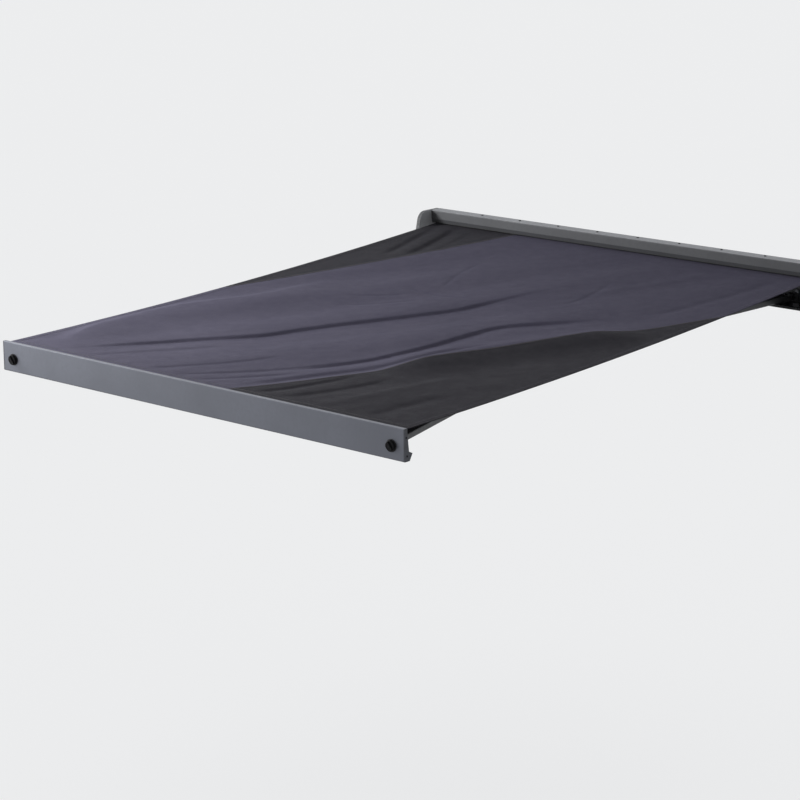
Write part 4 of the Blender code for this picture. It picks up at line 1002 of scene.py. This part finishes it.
def make_pin_heads():
    """Low domed heads on both ends of the shoulder, elbow and wrist pins."""
    for name, side in SIDES:
        spots = (("shoulder", 0.0, side * SHOULDER_X, "root"),
                 ("elbow", ARM_REACH / 2, side * ELBOW_X, name + "_upper"),
                 ("wrist", ARM_REACH, side * SHOULDER_X, "rail"))
        for joint, run, x, body in spots:
            depth = SHOULDER_DEPTH + run * math.cos(SLOPE)
            middle = arm_matrix(x, depth, ARM_DROPS[side] + run * math.sin(SLOPE))
            heads = Shape()
            for turn in (0, math.pi):
                at = middle @ Matrix.Rotation(turn, 4, "X") @ Matrix.Translation((0, 0, PIN_HALF))
                heads.turned([(0.0048, -0.0004), (0.0082, 0.0001), (0.0082, 0.0006), (0.0072, 0.0011),
                              (0.0030, 0.0012)], at)
            heads.piece(name + "_" + joint + "_pin_heads", steel, body)


BRACKET_BOLT_SIDE = 0.024
BRACKET_BOLT_RISE = 0.022
BRACKET_FACE_Y = BACK_Y - 0.0093
BRACKET_WASHER = 0.0008


def make_bracket_bolts():
    """Two bolts above each arm hold its shoulder bracket to the back wall."""
    for name, side in SIDES:
        bolts = Shape()
        z = TOP_Z - (ARM_DROPS[side] - BRACKET_BOLT_RISE)
        for hand in (-1, 1):
            at = facing((0, -1, 0), (side * SHOULDER_X + hand * BRACKET_BOLT_SIDE, BRACKET_FACE_Y, z))
            washer(bolts, at, 0.0062, 0.0030, BRACKET_WASHER)
            button_screw(bolts, at @ Matrix.Translation((0, 0, BRACKET_WASHER)), 0.0048, 0.0030)
        bolts.piece(name + "_shoulder_bolts", steel, "root")


# Stage

FLOOR_RADIUS = 90.0
FLOOR_GLOW = (0.982, 0.990, 1.0)
FLOOR_GLOW_SHARE = 0.77
BACKDROP = (0.835, 0.842, 0.856)
WORLD_FILL = 0.31


def make_stage():
    """The pale floor. Camera, metal and glass see it glow a little, and it keeps the object's shadow."""
    bm = bmesh.new()
    bmesh.ops.create_circle(bm, cap_ends=True, segments=64, radius=FLOOR_RADIUS)
    mesh = bpy.data.meshes.new("studio_floor")
    bm.to_mesh(mesh)
    bm.free()
    floor = new_object("studio_floor", mesh)
    floor.location = (0, 0, FLOOR_Z)
    f = Finish("floor_paint", (0.80, 0.80, 0.81), 0.9, Specular_IOR_Level=0.1)
    f.set(Base_Color=f.blend(f.noise(0.35, 2.0), (0.795, 0.797, 0.805), (0.815, 0.817, 0.825)))
    glow = f.add("ShaderNodeEmission", {"Color": (*FLOOR_GLOW, 1), "Strength": 1.0})
    share = f.calc("MULTIPLY", seen_rays(f.tree), FLOOR_GLOW_SHARE)
    mixed = f.add("ShaderNodeMixShader", {0: share, 1: f.shader.outputs[0], 2: glow.outputs[0]})
    f.tree.links.new(mixed.outputs[0], f.tree.nodes["Material Output"].inputs["Surface"])
    mesh.materials.append(f.material)


def seen_rays(tree):
    """1 for the rays that the camera, metal and glass look along, else 0."""
    rays = tree.nodes.new("ShaderNodeLightPath").outputs
    total = rays["Is Camera Ray"]
    for kind in ("Is Glossy Ray", "Is Transmission Ray"):
        node = tree.nodes.new("ShaderNodeMath")
        node.operation = "ADD"
        node.use_clamp = True
        tree.links.new(total, node.inputs[0])
        tree.links.new(rays[kind], node.inputs[1])
        total = node.outputs[0]
    return total


def make_light():
    """An even world that looks pale to the camera, with a soft sun and two soft boxes."""
    scene = bpy.context.scene
    world = bpy.data.worlds.new("studio")
    world.use_nodes = True
    tree = world.node_tree
    tree.nodes.clear()
    fill = tree.nodes.new("ShaderNodeBackground")
    fill.inputs["Color"].default_value = (1.0, 1.0, 1.0, 1)
    fill.inputs["Strength"].default_value = WORLD_FILL
    pale = tree.nodes.new("ShaderNodeBackground")
    pale.inputs["Color"].default_value = (*BACKDROP, 1)
    pale.inputs["Strength"].default_value = 1.0
    mix = tree.nodes.new("ShaderNodeMixShader")
    out = tree.nodes.new("ShaderNodeOutputWorld")
    for k, source in enumerate((seen_rays(tree), fill.outputs[0], pale.outputs[0])):
        tree.links.new(source, mix.inputs[k])
    tree.links.new(mix.outputs[0], out.inputs["Surface"])
    scene.world = world
    add_sun("overhead", (-0.30, 0.10, 1.0), 0.45, 60.0)
    add_area("key", (-3.4, -2.7, 1.4), (0.1, -1.4, 0.0), 1.1, 175.0)
    add_area("rail_fill", (-2.9, -4.6, 0.4), (-0.8, -2.5, 0.0), 1.5, 40.0)


def add_sun(name, towards, strength, spread):
    lamp = bpy.data.lights.new(name, "SUN")
    lamp.energy = strength
    lamp.angle = math.radians(spread)
    obj = new_object(name, lamp)
    obj.rotation_euler = Vector(towards).to_track_quat("Z", "Y").to_euler()


def add_area(name, place, target, size, power):
    lamp = bpy.data.lights.new(name, "AREA")
    lamp.shape = "DISK"
    lamp.size = size
    lamp.energy = power
    obj = new_object(name, lamp)
    obj.location = place
    obj.rotation_euler = (Vector(place) - Vector(target)).to_track_quat("Z", "Y").to_euler()
    obj.visible_camera = False
    obj.light_linking.receiver_collection = unlit_stage()


def unlit_stage():
    """The floor, left out of the soft boxes' light, which would draw bright pools on it."""
    name = "left_out_of_soft_boxes"
    if name not in bpy.data.collections:
        group = bpy.data.collections.new(name)
        group.objects.link(bpy.data.objects["studio_floor"])
        group.collection_objects[0].light_linking.link_state = "EXCLUDE"
    return bpy.data.collections[name]


CAMERA_AT = Vector((5.9454, -8.1884, 2.0571))
CAMERA_YAW = math.radians(41.040)
CAMERA_PITCH = math.radians(14.362)
CAMERA_ROLL = math.radians(-0.255)
CAMERA_LENS = 111.252


def make_camera():
    lens = bpy.data.cameras.new("viewpoint")
    lens.lens = CAMERA_LENS
    lens.sensor_width = 36.0
    lens.sensor_fit = "HORIZONTAL"
    lens.clip_end = 400.0
    obj = new_object("viewpoint", lens)
    cy, sy = math.cos(CAMERA_YAW), math.sin(CAMERA_YAW)
    cp, sp = math.cos(CAMERA_PITCH), math.sin(CAMERA_PITCH)
    ahead = Vector((-sy * cp, cy * cp, -sp))
    right = Vector((cy, sy, 0.0))
    up = right.cross(ahead)
    cr, sr = math.cos(CAMERA_ROLL), math.sin(CAMERA_ROLL)
    axes = Matrix((cr * right + sr * up, cr * up - sr * right, -ahead)).transposed()
    obj.matrix_world = Matrix.Translation(CAMERA_AT) @ axes.to_4x4()
    bpy.context.scene.camera = obj


make_camera()
make_stage()
make_light()
dress_nodes()
make_canopy()
make_seams()
make_roll()
make_top_screws()
make_end_screws()
make_cap_screws()
make_knobs()
make_feet_fittings()
make_pin_heads()
make_bracket_bolts()

bpy.context.scene.view_settings.view_transform = "Standard"
